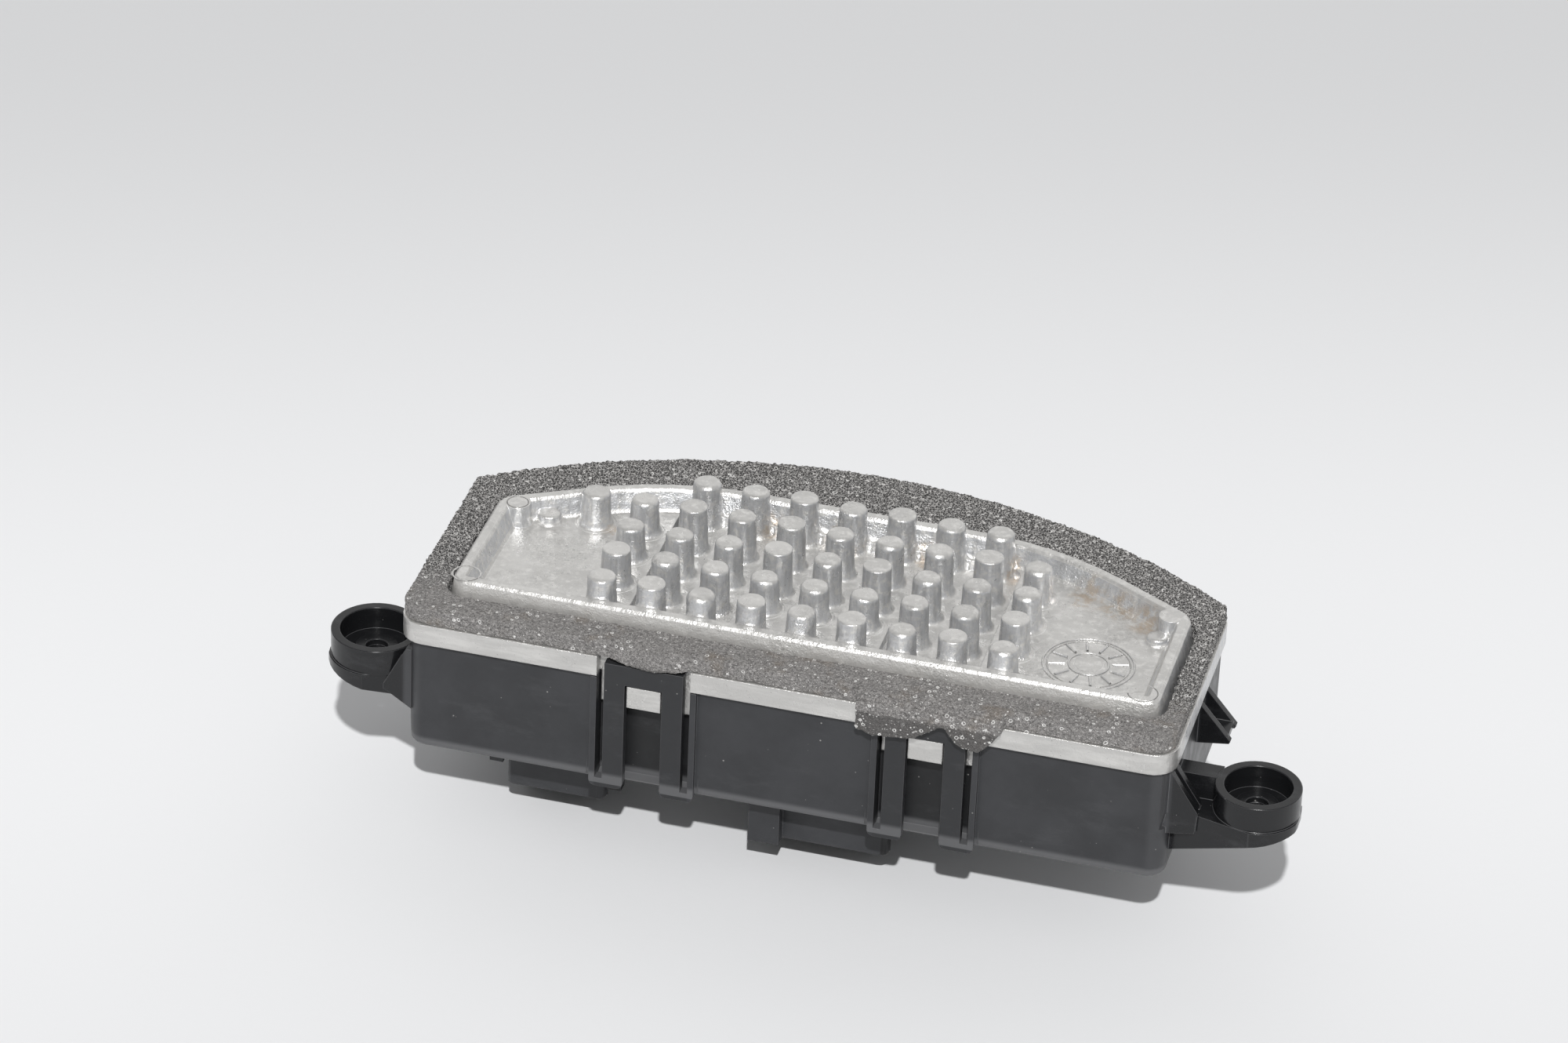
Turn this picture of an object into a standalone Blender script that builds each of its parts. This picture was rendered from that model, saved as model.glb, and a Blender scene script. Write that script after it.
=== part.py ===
"""Heater blower resistor: a die-cast pin-fin heat sink latched onto a moulded housing.

The casting carries a foam gasket on its flange. The housing hangs below it, with two screw ears,
guide wedges and two plug sockets, and it holds the circuit board with its power transistors.
Every length is in millimetres and becomes metres where a mesh is made. Drawing frame: X runs along
the front edge from the middle of the casting, Y runs back from the flange's front edge, and Z = 0
is the underside of the flange. The root empty moves the whole object so that its origin is the
middle of its footprint, on the surface that it stands on.
"""

import math

import bmesh
import bpy

MM = 0.001
GAP = 0.3
OVERLAP = 0.6
THROUGH = 1.0

# Flange of the casting
PLATE_HALF_WIDTH = 61.6
PLATE_SIDE_LENGTH = 40.7
PLATE_DEPTH = 61.7
PLATE_THICKNESS = 3.5
PLATE_FRONT_CORNER = 4.0
PLATE_REAR_CORNER = 1.6

# Dish: the raised rim with the pins inside it
SEAL_FRONT_WIDTH = 6.75
SEAL_SIDE_WIDTH = 5.45
SEAL_REAR_WIDTH = 14.6
DISH_SHIFT = 1.1
SHOULDER_RUN = 24.4
SHOULDER_ANGLE = math.radians(30.0)
SHOULDER_RADIUS = 55.0
DISH_FRONT_CORNER = 2.2
DISH_REAR_CORNER = 3.4
RIM_HEIGHT = 4.9
RIM_WIDTH = 2.1
RIM_DRAFT = 0.7
RIM_EDGE = 0.45
POCKET_DEPTH = 3.4
POCKET_DRAFT = 0.9
PIT_DEPTH = 5.1
PIT_STEP = 0.5
PIT_LEFT_COLUMN = 1.5
PIT_RIGHT_COLUMN = 8.5
PAD_LEFT_COLUMN = 3.5
PAD_RIGHT_COLUMN = 6.5
PAD_ROW = 1.3
CORNER_BOSS_RADIUS = 2.0
CORNER_BOSS_INSET = 3.2
CORNER_BOSS_Y_DROP = 1.0

# Pins
PIN_PITCH = 8.0
PIN_RADIUS = 2.24
PIN_DRAFT = 0.2
PIN_EDGE = 0.45
PIN_FOOT = 0.7
PIN_RISE = 2.9
PIN_FRONT_ROW = 4.55
PIN_MIDDLE_COLUMN = 4.5
PIN_SHIFT = 3.95
PIN_ROWS = ((1, 9), (1, 9), (1, 9), (0, 9), (2, 8))
PIN_SIDES = 16

# Foam gasket
FOAM_THICKNESS = 2.65
FLAP_LEFT = 12.2
FLAP_WIDTH = 22.9
FLAP_DROP = 4.3
FLAP_THICKNESS = 1.5
# Each point of the flap's torn edge: share of its width, share of its drop, corner radius
FLAP_EDGE = (
    (0.0, 0.85, 0.6), (0.12, 1.0, 1.5), (0.39, 0.88, 4.0), (0.60, 0.14, 0.6),
    (0.71, 0.85, 2.0), (0.85, 1.0, 1.2), (0.93, 0.55, 1.0),
)

# Housing
HOUSING_INSET = 0.9
HOUSING_SHIFT = 0.35
HOUSING_DEPTH = 19.1
HOUSING_WALL = 1.8
HOUSING_FLOOR = 2.0
HOUSING_ROUND = 3.0

# Latches
LATCH_SHIFT = 0.65
LATCH_REACH = 22.4
LATCH_WINDOW = 6.0
LATCH_LEG = 3.3
LATCH_SLOT = 1.2
LATCH_RIB = 0.95
LATCH_THICKNESS = 1.6
LATCH_PROUD = 0.8
LATCH_BAR = 3.5
LATCH_BAR_TOP = 2.5
LATCH_FOOT_DROP = 1.3
LATCH_FOOT_WEB = 1.5
LATCH_FOOT_ROUND = 1.0
TAB_THICKNESS = 1.1
TAB_DROP = 5.5
LUG_CHAMFER = 0.4
BAY_WALL = 1.5

# Screw ears
EAR_LEFT_REACH = 6.75
EAR_RIGHT_REACH = 12.85
EAR_LEFT_RADIUS = 7.2
EAR_RIGHT_RADIUS = 6.7
EAR_FROM_FRONT = 7.1
EAR_DROP = 3.7
EAR_HEIGHT = 7.0
EAR_WALL = 1.45
EAR_BORE_DEPTH = 3.8
EAR_HOLE_RADIUS = 2.9
EAR_FOOT = 2.7
EAR_FOOT_MARGIN = 0.35
EAR_FOOT_FACETS = 5
EAR_WEB = 3.4
GUSSET_THICKNESS = 1.6
GUSSET_REACH = 3.65
GUSSET_FROM_FRONT = 1.0
GUSSET_RISE = 1.0
GUSSET_TIP = 0.9
GUSSET_DROP = 2.9

# Guide wedges on the right side
WEDGE_FRONT_REACH = 4.9
WEDGE_REAR_REACH = 5.6
WEDGE_TOP = 0.4
WEDGE_TIP = 6.5
WEDGE_FRONT_FOOT = 10.2
WEDGE_REAR_FOOT = 8.2
WEDGE_EASE = 0.5
WEDGE_RIB = 1.2
WEDGE_FRONT_PITCH = 2.4
WEDGE_REAR_PITCH = 4.6
WEDGE_FRONT_Y = 0.9
WEDGE_REAR_Y = 23.0

# Plug sockets
SOCKET_WALL = 1.6
SOCKET_DROP = 14.6
SOCKET_FRONT_DROP = 9.3
SOCKET_CORNER = 1.2
SOCKET_CHEEK = 3.8
SOCKET_STEP = 2.6
SOCKET_SLANT = math.radians(31.0)
SLANT_MARGIN = 6.0
POWER_SOCKET_LEFT = -5.35
POWER_SOCKET_WIDTH = 21.9
POWER_SOCKET_FRONT = 6.7
POWER_SOCKET_DEPTH = 27.5
POWER_LATCH_WIDTH = 5.0
POWER_LATCH_PROUD = 2.3
SIGNAL_SOCKET_LEFT = -45.85
SIGNAL_SOCKET_WIDTH = 16.0
SIGNAL_SOCKET_FRONT = 7.9
SIGNAL_SOCKET_DEPTH = 18.0
SIGNAL_TAB_WIDTH = 2.2
SIGNAL_TAB_GAP = 0.6
SIGNAL_TAB_DROP = 7.1
SIGNAL_RAIL_WIDTH = 2.2
SIGNAL_RAIL_DROP = 5.6

# Contacts
BLADE_WIDTH = 6.3
BLADE_THICKNESS = 0.8
BLADE_RECESS = 3.0
BLADE_TIP = 1.0
BLADE_PITCH_X = 9.4
BLADE_PITCH_Y = 12.0
PIN_CONTACT = 1.0
PIN_CONTACT_PITCH = 3.6

# Circuit board and what it carries
BOARD_THICKNESS = 1.6
BOARD_MARGIN = 1.2
POST_HEIGHT = 1.5
POST_RADIUS = 2.6
POST_INSET_X = 7.5
POST_INSET_Y = 7.5
SCREW_RADIUS = 1.25
SCREW_HEAD_RADIUS = 2.4
SCREW_HEAD = 1.6
SCREW_CROWN = 0.7
POST_CORE = 1.0
TRANSISTOR_WIDTH = 16.0
TRANSISTOR_LENGTH = 21.0
TRANSISTOR_THICKNESS = 5.0
TRANSISTOR_SPACING = 27.0
TRANSISTOR_SHARE = 0.454
LEAD_WIDTH = 1.2
LEAD_THICKNESS = 0.6
LEAD_PITCH = 5.45
LEAD_REACH = 2.4
PAD_THICKNESS = 0.5
PAD_MARGIN = 1.0
CLAMP_THICKNESS = 0.8
CLAMP_WIDTH = 8.0
CLAMP_ARM = 9.5
CLAMP_BOSS_RADIUS = 3.4
CLAMP_SCREW_RADIUS = 1.5
CLAMP_SCREW_HEAD = 3.0
CLAMP_SCREW_LENGTH = 5.0
CLAMP_SCREW_HEIGHT = 1.8
CLAMP_SCREW_RIM = 1.0
CLAMP_CORNER = 2.0
CAPACITOR_RADIUS = 5.0
CAPACITOR_HEIGHT = 11.0
SMALL_CAPACITOR_RADIUS = 3.15
SMALL_CAPACITOR_HEIGHT = 7.7
CAPACITOR_SPACING = 2.0
CAPACITOR_SEAL = 0.8
CAPACITOR_GROOVE = 0.5
CAPACITOR_GROOVE_DEPTH = 0.35
CAPACITOR_EDGE = 0.4
CHOKE_RADIUS = 2.6
CHOKE_LENGTH = 20.0
CHOKE_SPACING = 1.5
WINDING_WIRE = 1.3
WINDING_TURNS = 7
WINDING_STEPS = 10
WIRE_SIDES = 6
SHUNT_LENGTH = 14.0
SHUNT_WIDTH = 4.0
SHUNT_RISE = 3.5
SHUNT_THICKNESS = 0.9
SHUNT_FOOT = 3.0
SHUNT_FORWARD = 4.0
CHIP_LENGTH = 8.7
CHIP_WIDTH = 3.9
CHIP_HEIGHT = 1.5
CHIP_LEAD = 1.1
CHIP_LEAD_WIDTH = 0.5
CHIP_LEADS = 4
CHIP_RISE = 0.2
CHIP_FORWARD = 2.0
DIODE_LENGTH = 7.0
DIODE_WIDTH = 5.6
DIODE_HEIGHT = 2.3
DIODE_EASE = 0.4
DIODE_SPACING = 0.5

ARC_STEPS = 6
REAR_ARC_STEPS = 20
ROUND_SIDES = 32
POST_SIDES = 16
SCREW_SIDES = 12
CAN_SIDES = 18
BOSS_SIDES = 20

# Levels and places that follow from the sizes above
PLATE_TOP = PLATE_THICKNESS
RIM_TOP = PLATE_TOP + RIM_HEIGHT
PIN_TOP = RIM_TOP + PIN_RISE
POCKET_FLOOR = RIM_TOP - POCKET_DEPTH
PIT_FLOOR = RIM_TOP - PIT_DEPTH
HOUSING_TOP = -GAP
HOUSING_BOTTOM = -HOUSING_DEPTH
CAVITY_FLOOR = HOUSING_BOTTOM + HOUSING_FLOOR
HOUSING_SIDE = PLATE_HALF_WIDTH - HOUSING_INSET
SOCKET_BOTTOM = HOUSING_BOTTOM - SOCKET_DROP
DISH_HALF_WIDTH = PLATE_HALF_WIDTH - SEAL_SIDE_WIDTH
DISH_REAR = PLATE_DEPTH - SEAL_REAR_WIDTH
PIN_ROW_Y = SEAL_FRONT_WIDTH + PIN_FRONT_ROW
LATCH_PLACES = (LATCH_SHIFT - LATCH_REACH, LATCH_SHIFT + LATCH_REACH)
LATCH_FRONT = HOUSING_INSET - LATCH_PROUD
LATCH_BACK = LATCH_FRONT + LATCH_THICKNESS
LATCH_HALF = LATCH_WINDOW / 2 + LATCH_LEG
BAY_HALF = LATCH_HALF + LATCH_SLOT
TAB_FRONT = LATCH_BACK + GAP
TAB_BACK = TAB_FRONT + TAB_THICKNESS
BAY_BACK = TAB_BACK + GAP
BOARD_BOTTOM = CAVITY_FLOOR + POST_HEIGHT + GAP
BOARD_TOP = BOARD_BOTTOM + BOARD_THICKNESS
TRANSISTOR_Y = TRANSISTOR_SHARE * PLATE_DEPTH
PAD_TOP = -GAP
PAD_BOTTOM = PAD_TOP - PAD_THICKNESS
TRANSISTOR_TOP = PAD_BOTTOM - GAP
TRANSISTOR_BOTTOM = TRANSISTOR_TOP - TRANSISTOR_THICKNESS
EAR_LEFT_X = -HOUSING_SIDE - EAR_LEFT_REACH
EAR_RIGHT_X = HOUSING_SIDE + EAR_RIGHT_REACH


def arc(centre_x, centre_y, radius, start, end, steps):
    """Points of an arc in the XY plane, both ends included. Angles are in radians."""
    angles = (start + (end - start) * i / steps for i in range(steps + 1))
    return [(centre_x + radius * math.cos(a), centre_y + radius * math.sin(a)) for a in angles]


def circle(centre_x, centre_y, radius, sides=ROUND_SIDES):
    return arc(centre_x, centre_y, radius, 0.0, math.tau * (1 - 1 / sides), sides - 1)


def rectangle(x0, x1, y0, y1):
    return [(x0, y0), (x1, y0), (x1, y1), (x0, y1)]


def rounded(corners, radii, steps=ARC_STEPS):
    """The closed polygon of these corners, each replaced by a fillet of its own radius."""
    points = []
    count = len(corners)
    for i, (x, y) in enumerate(corners):
        if radii[i] <= 0:
            points.append((x, y))
            continue
        ends = []
        for near in (corners[i - 1], corners[(i + 1) % count]):
            length = math.hypot(near[0] - x, near[1] - y)
            ends.append(((near[0] - x) / length, (near[1] - y) / length, length))
        (ax, ay, a_length), (bx, by, b_length) = ends
        half = math.acos(max(-1.0, min(1.0, ax * bx + ay * by))) / 2
        reach = min(radii[i] / math.tan(half), 0.49 * a_length, 0.49 * b_length)
        radius = reach * math.tan(half)
        middle = math.hypot(ax + bx, ay + by)
        out = radius / math.sin(half) / middle
        cx, cy = x + (ax + bx) * out, y + (ay + by) * out
        start = math.atan2(y + ay * reach - cy, x + ax * reach - cx)
        end = math.atan2(y + by * reach - cy, x + bx * reach - cx)
        turn = (end - start + math.pi) % math.tau - math.pi
        points += arc(cx, cy, radius, start, start + turn, steps)
    return points


def plate_outline(inset):
    """The flange's plan, moved in by inset: straight front and sides, and one long arc behind."""
    half = PLATE_HALF_WIDTH - inset
    rise = PLATE_DEPTH - PLATE_SIDE_LENGTH
    radius = (PLATE_HALF_WIDTH**2 + rise**2) / (2 * rise)
    centre_y = PLATE_DEPTH - radius
    front = max(PLATE_FRONT_CORNER - inset, GAP)
    rear = max(PLATE_REAR_CORNER - inset, GAP)
    corner_x = half - rear
    corner_y = centre_y + math.sqrt((radius - inset - rear) ** 2 - corner_x**2)
    lean = math.atan2(corner_y - centre_y, corner_x)
    points = arc(front - half, inset + front, front, math.pi, 1.5 * math.pi, ARC_STEPS)
    points += arc(half - front, inset + front, front, 1.5 * math.pi, math.tau, ARC_STEPS)
    points += arc(corner_x, corner_y, rear, 0.0, lean, ARC_STEPS)
    points += arc(0.0, centre_y, radius - inset, lean, math.pi - lean, REAR_ARC_STEPS)[1:-1]
    points += arc(-corner_x, corner_y, rear, math.pi - lean, math.pi, ARC_STEPS)
    return points


def dish_outline(inset):
    """The rim's plan, moved in by inset: a flat crown between two sloping shoulders."""
    half = DISH_HALF_WIDTH - inset
    crown = DISH_REAR - inset
    slope = math.tan(SHOULDER_ANGLE)
    knee = DISH_HALF_WIDTH - SHOULDER_RUN - inset * math.tan(SHOULDER_ANGLE / 2)
    side = crown - (half - knee) * slope
    front = SEAL_FRONT_WIDTH + inset
    corners = [(-half, front), (half, front), (half, side), (knee, crown), (-knee, crown), (-half, side)]
    front_radius = max(DISH_FRONT_CORNER - inset, GAP)
    rear_radius = max(DISH_REAR_CORNER - inset, GAP)
    knee_radius = SHOULDER_RADIUS - inset
    radii = [front_radius, front_radius, rear_radius, knee_radius, knee_radius, rear_radius]
    return [(x + DISH_SHIFT, y) for x, y in rounded(corners, radii)]


def new_object(name, vertices, faces):
    """A mesh object of closed faces, given in millimetres, with its faces pointing outwards."""
    mesh = bpy.data.meshes.new(name)
    mesh.from_pydata([(x * MM, y * MM, z * MM) for x, y, z in vertices], [], faces)
    work = bmesh.new()
    work.from_mesh(mesh)
    bmesh.ops.recalc_face_normals(work, faces=work.faces)
    work.to_mesh(mesh)
    work.free()
    obj = bpy.data.objects.new(name, mesh)
    bpy.context.scene.collection.objects.link(obj)
    return obj


def loft(name, rings):
    """A solid through rings of (x, y, z) points, as many in each, with both ends filled."""
    count = len(rings[0])
    vertices = [point for ring in rings for point in ring]
    faces = [list(range(count)), list(range(len(vertices) - count, len(vertices)))]
    for level in range(len(rings) - 1):
        low = level * count
        for i in range(count):
            j = (i + 1) % count
            faces.append([low + i, low + j, low + count + j, low + count + i])
    return new_object(name, vertices, faces)


def prism(name, outline, low, high):
    return loft(name, [[(x, y, z) for x, y in outline] for z in (low, high)])


def side_prism(name, outline, low, high):
    """A solid whose outline is in the YZ plane, running along X from low to high."""
    return loft(name, [[(x, y, z) for y, z in outline] for x in (low, high)])


def front_prism(name, outline, low, high):
    """A solid whose outline is in the XZ plane, running along Y from low to high."""
    return loft(name, [[(x, y, z) for x, z in outline] for y in (low, high)])


def block(name, x0, x1, y0, y1, z0, z1):
    return prism(name, rectangle(x0, x1, y0, y1), z0, z1)


def turned(name, x, y, profile, sides=ROUND_SIDES):
    """A solid of revolution about a vertical axis. The profile is a list of (radius, z)."""
    return loft(name, [[(px, py, z) for px, py in circle(x, y, radius, sides)] for radius, z in profile])


def joined(name, objects):
    """One object made of these separate solids, for use as a single Boolean tool."""
    work = bmesh.new()
    for obj in objects:
        work.from_mesh(obj.data)
        bpy.data.objects.remove(obj)
    mesh = bpy.data.meshes.new(name)
    work.to_mesh(mesh)
    work.free()
    obj = bpy.data.objects.new(name, mesh)
    bpy.context.scene.collection.objects.link(obj)
    return obj


def combine(target, tool, operation):
    """Adds tool to target, or cuts it away. The tool stays as a hidden wire guide."""
    modifier = target.modifiers.new(f"{operation.lower()} {tool.name}", "BOOLEAN")
    modifier.operation = operation
    modifier.solver = "EXACT"
    modifier.object = tool
    tool.hide_render = True
    tool.display_type = "WIRE"


def add(target, *tools):
    for tool in tools:
        combine(target, tool, "UNION")


def cut(target, *tools):
    for tool in tools:
        combine(target, tool, "DIFFERENCE")


def finish(obj, colour, roughness, metallic=0.0):
    """Gives the piece its own material and smooth shading up to its sharp edges."""
    material = bpy.data.materials.new(obj.name)
    material.use_nodes = True
    shader = material.node_tree.nodes["Principled BSDF"]
    shader.inputs["Base Color"].default_value = (*colour, 1.0)
    shader.inputs["Roughness"].default_value = roughness
    shader.inputs["Metallic"].default_value = metallic
    material.diffuse_color = (*colour, 1.0)
    obj.data.materials.append(material)
    obj.data.shade_smooth()
    obj.data.set_sharp_from_angle(angle=math.radians(35.0))
    return obj


def pin_places():
    """The pins' centres on their square grid, kept to those that stand inside the rim."""
    places = []
    half = DISH_HALF_WIDTH - PIN_RADIUS
    slope = math.tan(SHOULDER_ANGLE)
    for row, (first, last) in enumerate(PIN_ROWS):
        y = PIN_ROW_Y + row * PIN_PITCH
        for column in range(first, last + 1):
            x = pin_column_x(column)
            shoulder = max(0.0, abs(x - DISH_SHIFT) - (DISH_HALF_WIDTH - SHOULDER_RUN)) * slope
            if abs(x - DISH_SHIFT) < half and y + PIN_RADIUS < DISH_REAR - shoulder:
                places.append((x, y))
    return places


def pin_column_x(column):
    return (column - PIN_MIDDLE_COLUMN) * PIN_PITCH - PIN_SHIFT


def pin_field():
    """All the pins as one tool: drafted, with a small round at the top and a fillet at the foot."""
    root = PIT_FLOOR - OVERLAP
    foot = PIN_RADIUS + PIN_DRAFT
    profile = [
        (foot + PIN_FOOT, root),
        (foot + PIN_FOOT, PIT_FLOOR),
        (foot, PIT_FLOOR + PIN_FOOT),
        (PIN_RADIUS, PIN_TOP - PIN_EDGE),
        (PIN_RADIUS - PIN_EDGE, PIN_TOP),
    ]
    return joined("pin_field", [turned("pin", x, y, profile, PIN_SIDES) for x, y in pin_places()])


def dish_rim():
    """The raised block of the dish, drafted outside and eased along its top edge."""
    levels = [
        (-RIM_DRAFT, PLATE_TOP - OVERLAP),
        (-RIM_DRAFT, PLATE_TOP),
        (0.0, RIM_TOP - RIM_EDGE),
        (RIM_EDGE, RIM_TOP),
    ]
    return loft("dish_rim", [[(x, y, z) for x, y in dish_outline(inset)] for inset, z in levels])


def dish_pocket():
    """The hollow inside the rim, down to the level of its two end pockets."""
    levels = [
        (RIM_WIDTH + POCKET_DRAFT + RIM_EDGE, POCKET_FLOOR),
        (RIM_WIDTH + POCKET_DRAFT, POCKET_FLOOR + RIM_EDGE),
        (RIM_WIDTH, RIM_TOP - RIM_EDGE),
        (RIM_WIDTH - RIM_EDGE, RIM_TOP),
        (RIM_WIDTH - RIM_EDGE, RIM_TOP + OVERLAP),
    ]
    return loft("dish_pocket", [[(x, y, z) for x, y in dish_outline(inset)] for inset, z in levels])


def dish_pit():
    """The deeper floor under the pins, which bends round a raised pad at the front."""
    left, right = pin_column_x(PIT_LEFT_COLUMN), pin_column_x(PIT_RIGHT_COLUMN)
    pad_left, pad_right = pin_column_x(PAD_LEFT_COLUMN), pin_column_x(PAD_RIGHT_COLUMN)
    margin = RIM_WIDTH + POCKET_DRAFT + RIM_EDGE + PIT_STEP
    front, rear = SEAL_FRONT_WIDTH + margin, DISH_REAR - margin
    pad = PIN_ROW_Y + PAD_ROW * PIN_PITCH
    corners = [
        (left, front), (pad_left, front), (pad_left, pad), (pad_right, pad),
        (pad_right, front), (right, front), (right, rear), (left, rear),
    ]
    radii = [PIN_RADIUS] * len(corners)
    return prism("dish_pit", rounded(corners, radii, 3), PIT_FLOOR, POCKET_FLOOR + OVERLAP)


def corner_bosses():
    """Two short bosses in the rear corners, level with the rim."""
    half = DISH_HALF_WIDTH - CORNER_BOSS_INSET
    side = DISH_REAR - SHOULDER_RUN * math.tan(SHOULDER_ANGLE)
    y = side - CORNER_BOSS_Y_DROP
    profile = [
        (CORNER_BOSS_RADIUS + PIN_FOOT, POCKET_FLOOR - OVERLAP),
        (CORNER_BOSS_RADIUS + PIN_DRAFT, POCKET_FLOOR + PIN_FOOT),
        (CORNER_BOSS_RADIUS, RIM_TOP),
    ]
    bosses = [turned("boss", DISH_SHIFT + x, y, profile, PIN_SIDES) for x in (-half, half)]
    return joined("corner_bosses", bosses)


def latch_tab(x):
    """The tab that hangs behind a latch loop, with the lug that fills the loop's window."""
    tab = block("tab", x - BAY_HALF + GAP, x + BAY_HALF - GAP, TAB_FRONT, TAB_BACK, -TAB_DROP, OVERLAP)
    lug_top = LATCH_BAR_TOP - LATCH_BAR - GAP
    root = TAB_FRONT + TAB_THICKNESS / 2
    profile = [
        (root, lug_top),
        (LATCH_FRONT + GAP, lug_top),
        (LATCH_FRONT + GAP, LUG_CHAMFER - TAB_DROP),
        (TAB_FRONT, -TAB_DROP),
        (root, -TAB_DROP),
    ]
    half = LATCH_WINDOW / 2 - GAP
    return tab, side_prism("lug", profile, x - half, x + half)


def clamp_centre():
    return DISH_SHIFT, TRANSISTOR_Y


def make_heat_sink():
    sink = prism("heat_sink", plate_outline(0.0), 0.0, PLATE_TOP)
    for x in LATCH_PLACES:
        low, high = -THROUGH, PLATE_TOP + THROUGH
        cut(sink, block("flange_notch", x - BAY_HALF, x + BAY_HALF, -THROUGH, TAB_FRONT, low, high))
    add(sink, dish_rim())
    cut(sink, dish_pocket(), dish_pit())
    add(sink, corner_bosses(), pin_field())
    for x in LATCH_PLACES:
        add(sink, *latch_tab(x))
    x, y = clamp_centre()
    boss_end = TRANSISTOR_BOTTOM
    boss = [(CLAMP_BOSS_RADIUS, boss_end), (CLAMP_BOSS_RADIUS, OVERLAP)]
    add(sink, turned("clamp_boss", x, y, boss, BOSS_SIDES))
    bore = CLAMP_SCREW_RADIUS + GAP
    depth = boss_end + CLAMP_SCREW_LENGTH + GAP
    cut(sink, turned("clamp_bore", x, y, [(bore, boss_end - THROUGH), (bore, depth)], POST_SIDES))
    finish(sink, (0.62, 0.61, 0.59), 0.42, 1.0)
    return sink


def flap_outline():
    """The torn flap of foam over the front edge: a wide lobe, a notch and a narrow lobe."""
    right = FLAP_LEFT + FLAP_WIDTH
    top = PLATE_TOP + GAP + FOAM_THICKNESS / 2
    corners = [(FLAP_LEFT, top)]
    radii = [0.0]
    for along, down, radius in FLAP_EDGE:
        corners.append((FLAP_LEFT + along * FLAP_WIDTH, PLATE_TOP - down * FLAP_DROP))
        radii.append(radius)
    corners += [(right, PLATE_TOP + GAP), (right, top)]
    radii += [GAP, 0.0]
    return rounded(corners, radii, 3)


def make_foam_gasket():
    low, high = PLATE_TOP + GAP, PLATE_TOP + GAP + FOAM_THICKNESS
    foam = prism("foam_gasket", plate_outline(GAP), low, high)
    cut(foam, prism("foam_hole", dish_outline(-RIM_DRAFT - GAP), low - THROUGH, high + THROUGH))
    back = LATCH_FRONT - GAP
    add(foam, front_prism("foam_flap", flap_outline(), back - FLAP_THICKNESS, back))
    add(foam, front_prism("flap_root", flap_root_outline(), back - OVERLAP, HOUSING_INSET))
    finish(foam, (0.10, 0.095, 0.09), 0.95)
    return foam


def flap_root_outline():
    low, high = PLATE_TOP + GAP, PLATE_TOP + GAP + FOAM_THICKNESS
    return rectangle(FLAP_LEFT, FLAP_LEFT + FLAP_WIDTH, low, high)


def housing_outline(inset):
    """The flange's plan, moved in by inset and a little to the right, as the housing sits on it."""
    return [(x + HOUSING_SHIFT, y) for x, y in plate_outline(inset)]


def housing_shell():
    """The outer form: upright walls and a round lower edge."""
    rings = [(HOUSING_INSET, HOUSING_TOP)]
    for step in range(5):
        turn = math.pi / 2 * step / 4
        inset = HOUSING_INSET + HOUSING_ROUND * (1 - math.cos(turn))
        rings.append((inset, HOUSING_BOTTOM + HOUSING_ROUND * (1 - math.sin(turn))))
    return loft("housing", [[(x, y, z) for x, y in housing_outline(inset)] for inset, z in rings])


def latch_bay(x):
    """The solid round a latch, before its recess is cut: two side walls and a back wall."""
    half = BAY_HALF + BAY_WALL
    low = CAVITY_FLOOR - OVERLAP
    return block("bay", x - half, x + half, HOUSING_INSET, BAY_BACK + BAY_WALL, low, HOUSING_TOP)


def latch_recess(x):
    low, high = HOUSING_BOTTOM - THROUGH, HOUSING_TOP + THROUGH
    return block("recess", x - BAY_HALF, x + BAY_HALF, -THROUGH, BAY_BACK, low, high)


def latch_loop(x):
    """The sprung loop, with the upright ribs beside its slots and the webs that join them below."""
    foot = HOUSING_BOTTOM - LATCH_FOOT_DROP
    rib_half = BAY_HALF + LATCH_RIB
    corners = [
        (-rib_half, HOUSING_TOP), (-rib_half, foot), (-LATCH_WINDOW / 2, foot),
        (-LATCH_WINDOW / 2, LATCH_BAR_TOP - LATCH_BAR), (LATCH_WINDOW / 2, LATCH_BAR_TOP - LATCH_BAR),
        (LATCH_WINDOW / 2, foot), (rib_half, foot), (rib_half, HOUSING_TOP),
        (BAY_HALF, HOUSING_TOP), (BAY_HALF, foot + LATCH_FOOT_WEB), (LATCH_HALF, foot + LATCH_FOOT_WEB),
        (LATCH_HALF, LATCH_BAR_TOP), (-LATCH_HALF, LATCH_BAR_TOP),
        (-LATCH_HALF, foot + LATCH_FOOT_WEB), (-BAY_HALF, foot + LATCH_FOOT_WEB), (-BAY_HALF, HOUSING_TOP),
    ]
    radii = [0.0] * len(corners)
    for corner in (1, 2, 5, 6):
        radii[corner] = LATCH_FOOT_ROUND
    outline = [(x + px, pz) for px, pz in rounded(corners, radii, 3)]
    return front_prism("loop", outline, LATCH_FRONT, LATCH_BACK)


def latch_ribs(x):
    """The ribs carried back to the bay's side walls, so that the webs hang on the housing."""
    foot = HOUSING_BOTTOM - LATCH_FOOT_DROP
    ribs = []
    for side in (-1, 1):
        low, high = sorted((x + side * BAY_HALF, x + side * (BAY_HALF + LATCH_RIB)))
        profile = [
            (LATCH_BACK - OVERLAP, HOUSING_TOP), (LATCH_BACK - OVERLAP, foot + LATCH_FOOT_ROUND),
            (BAY_BACK + BAY_WALL, HOUSING_BOTTOM + OVERLAP), (BAY_BACK + BAY_WALL, HOUSING_TOP),
        ]
        ribs.append(side_prism("rib", profile, low, high))
    return ribs


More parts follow.
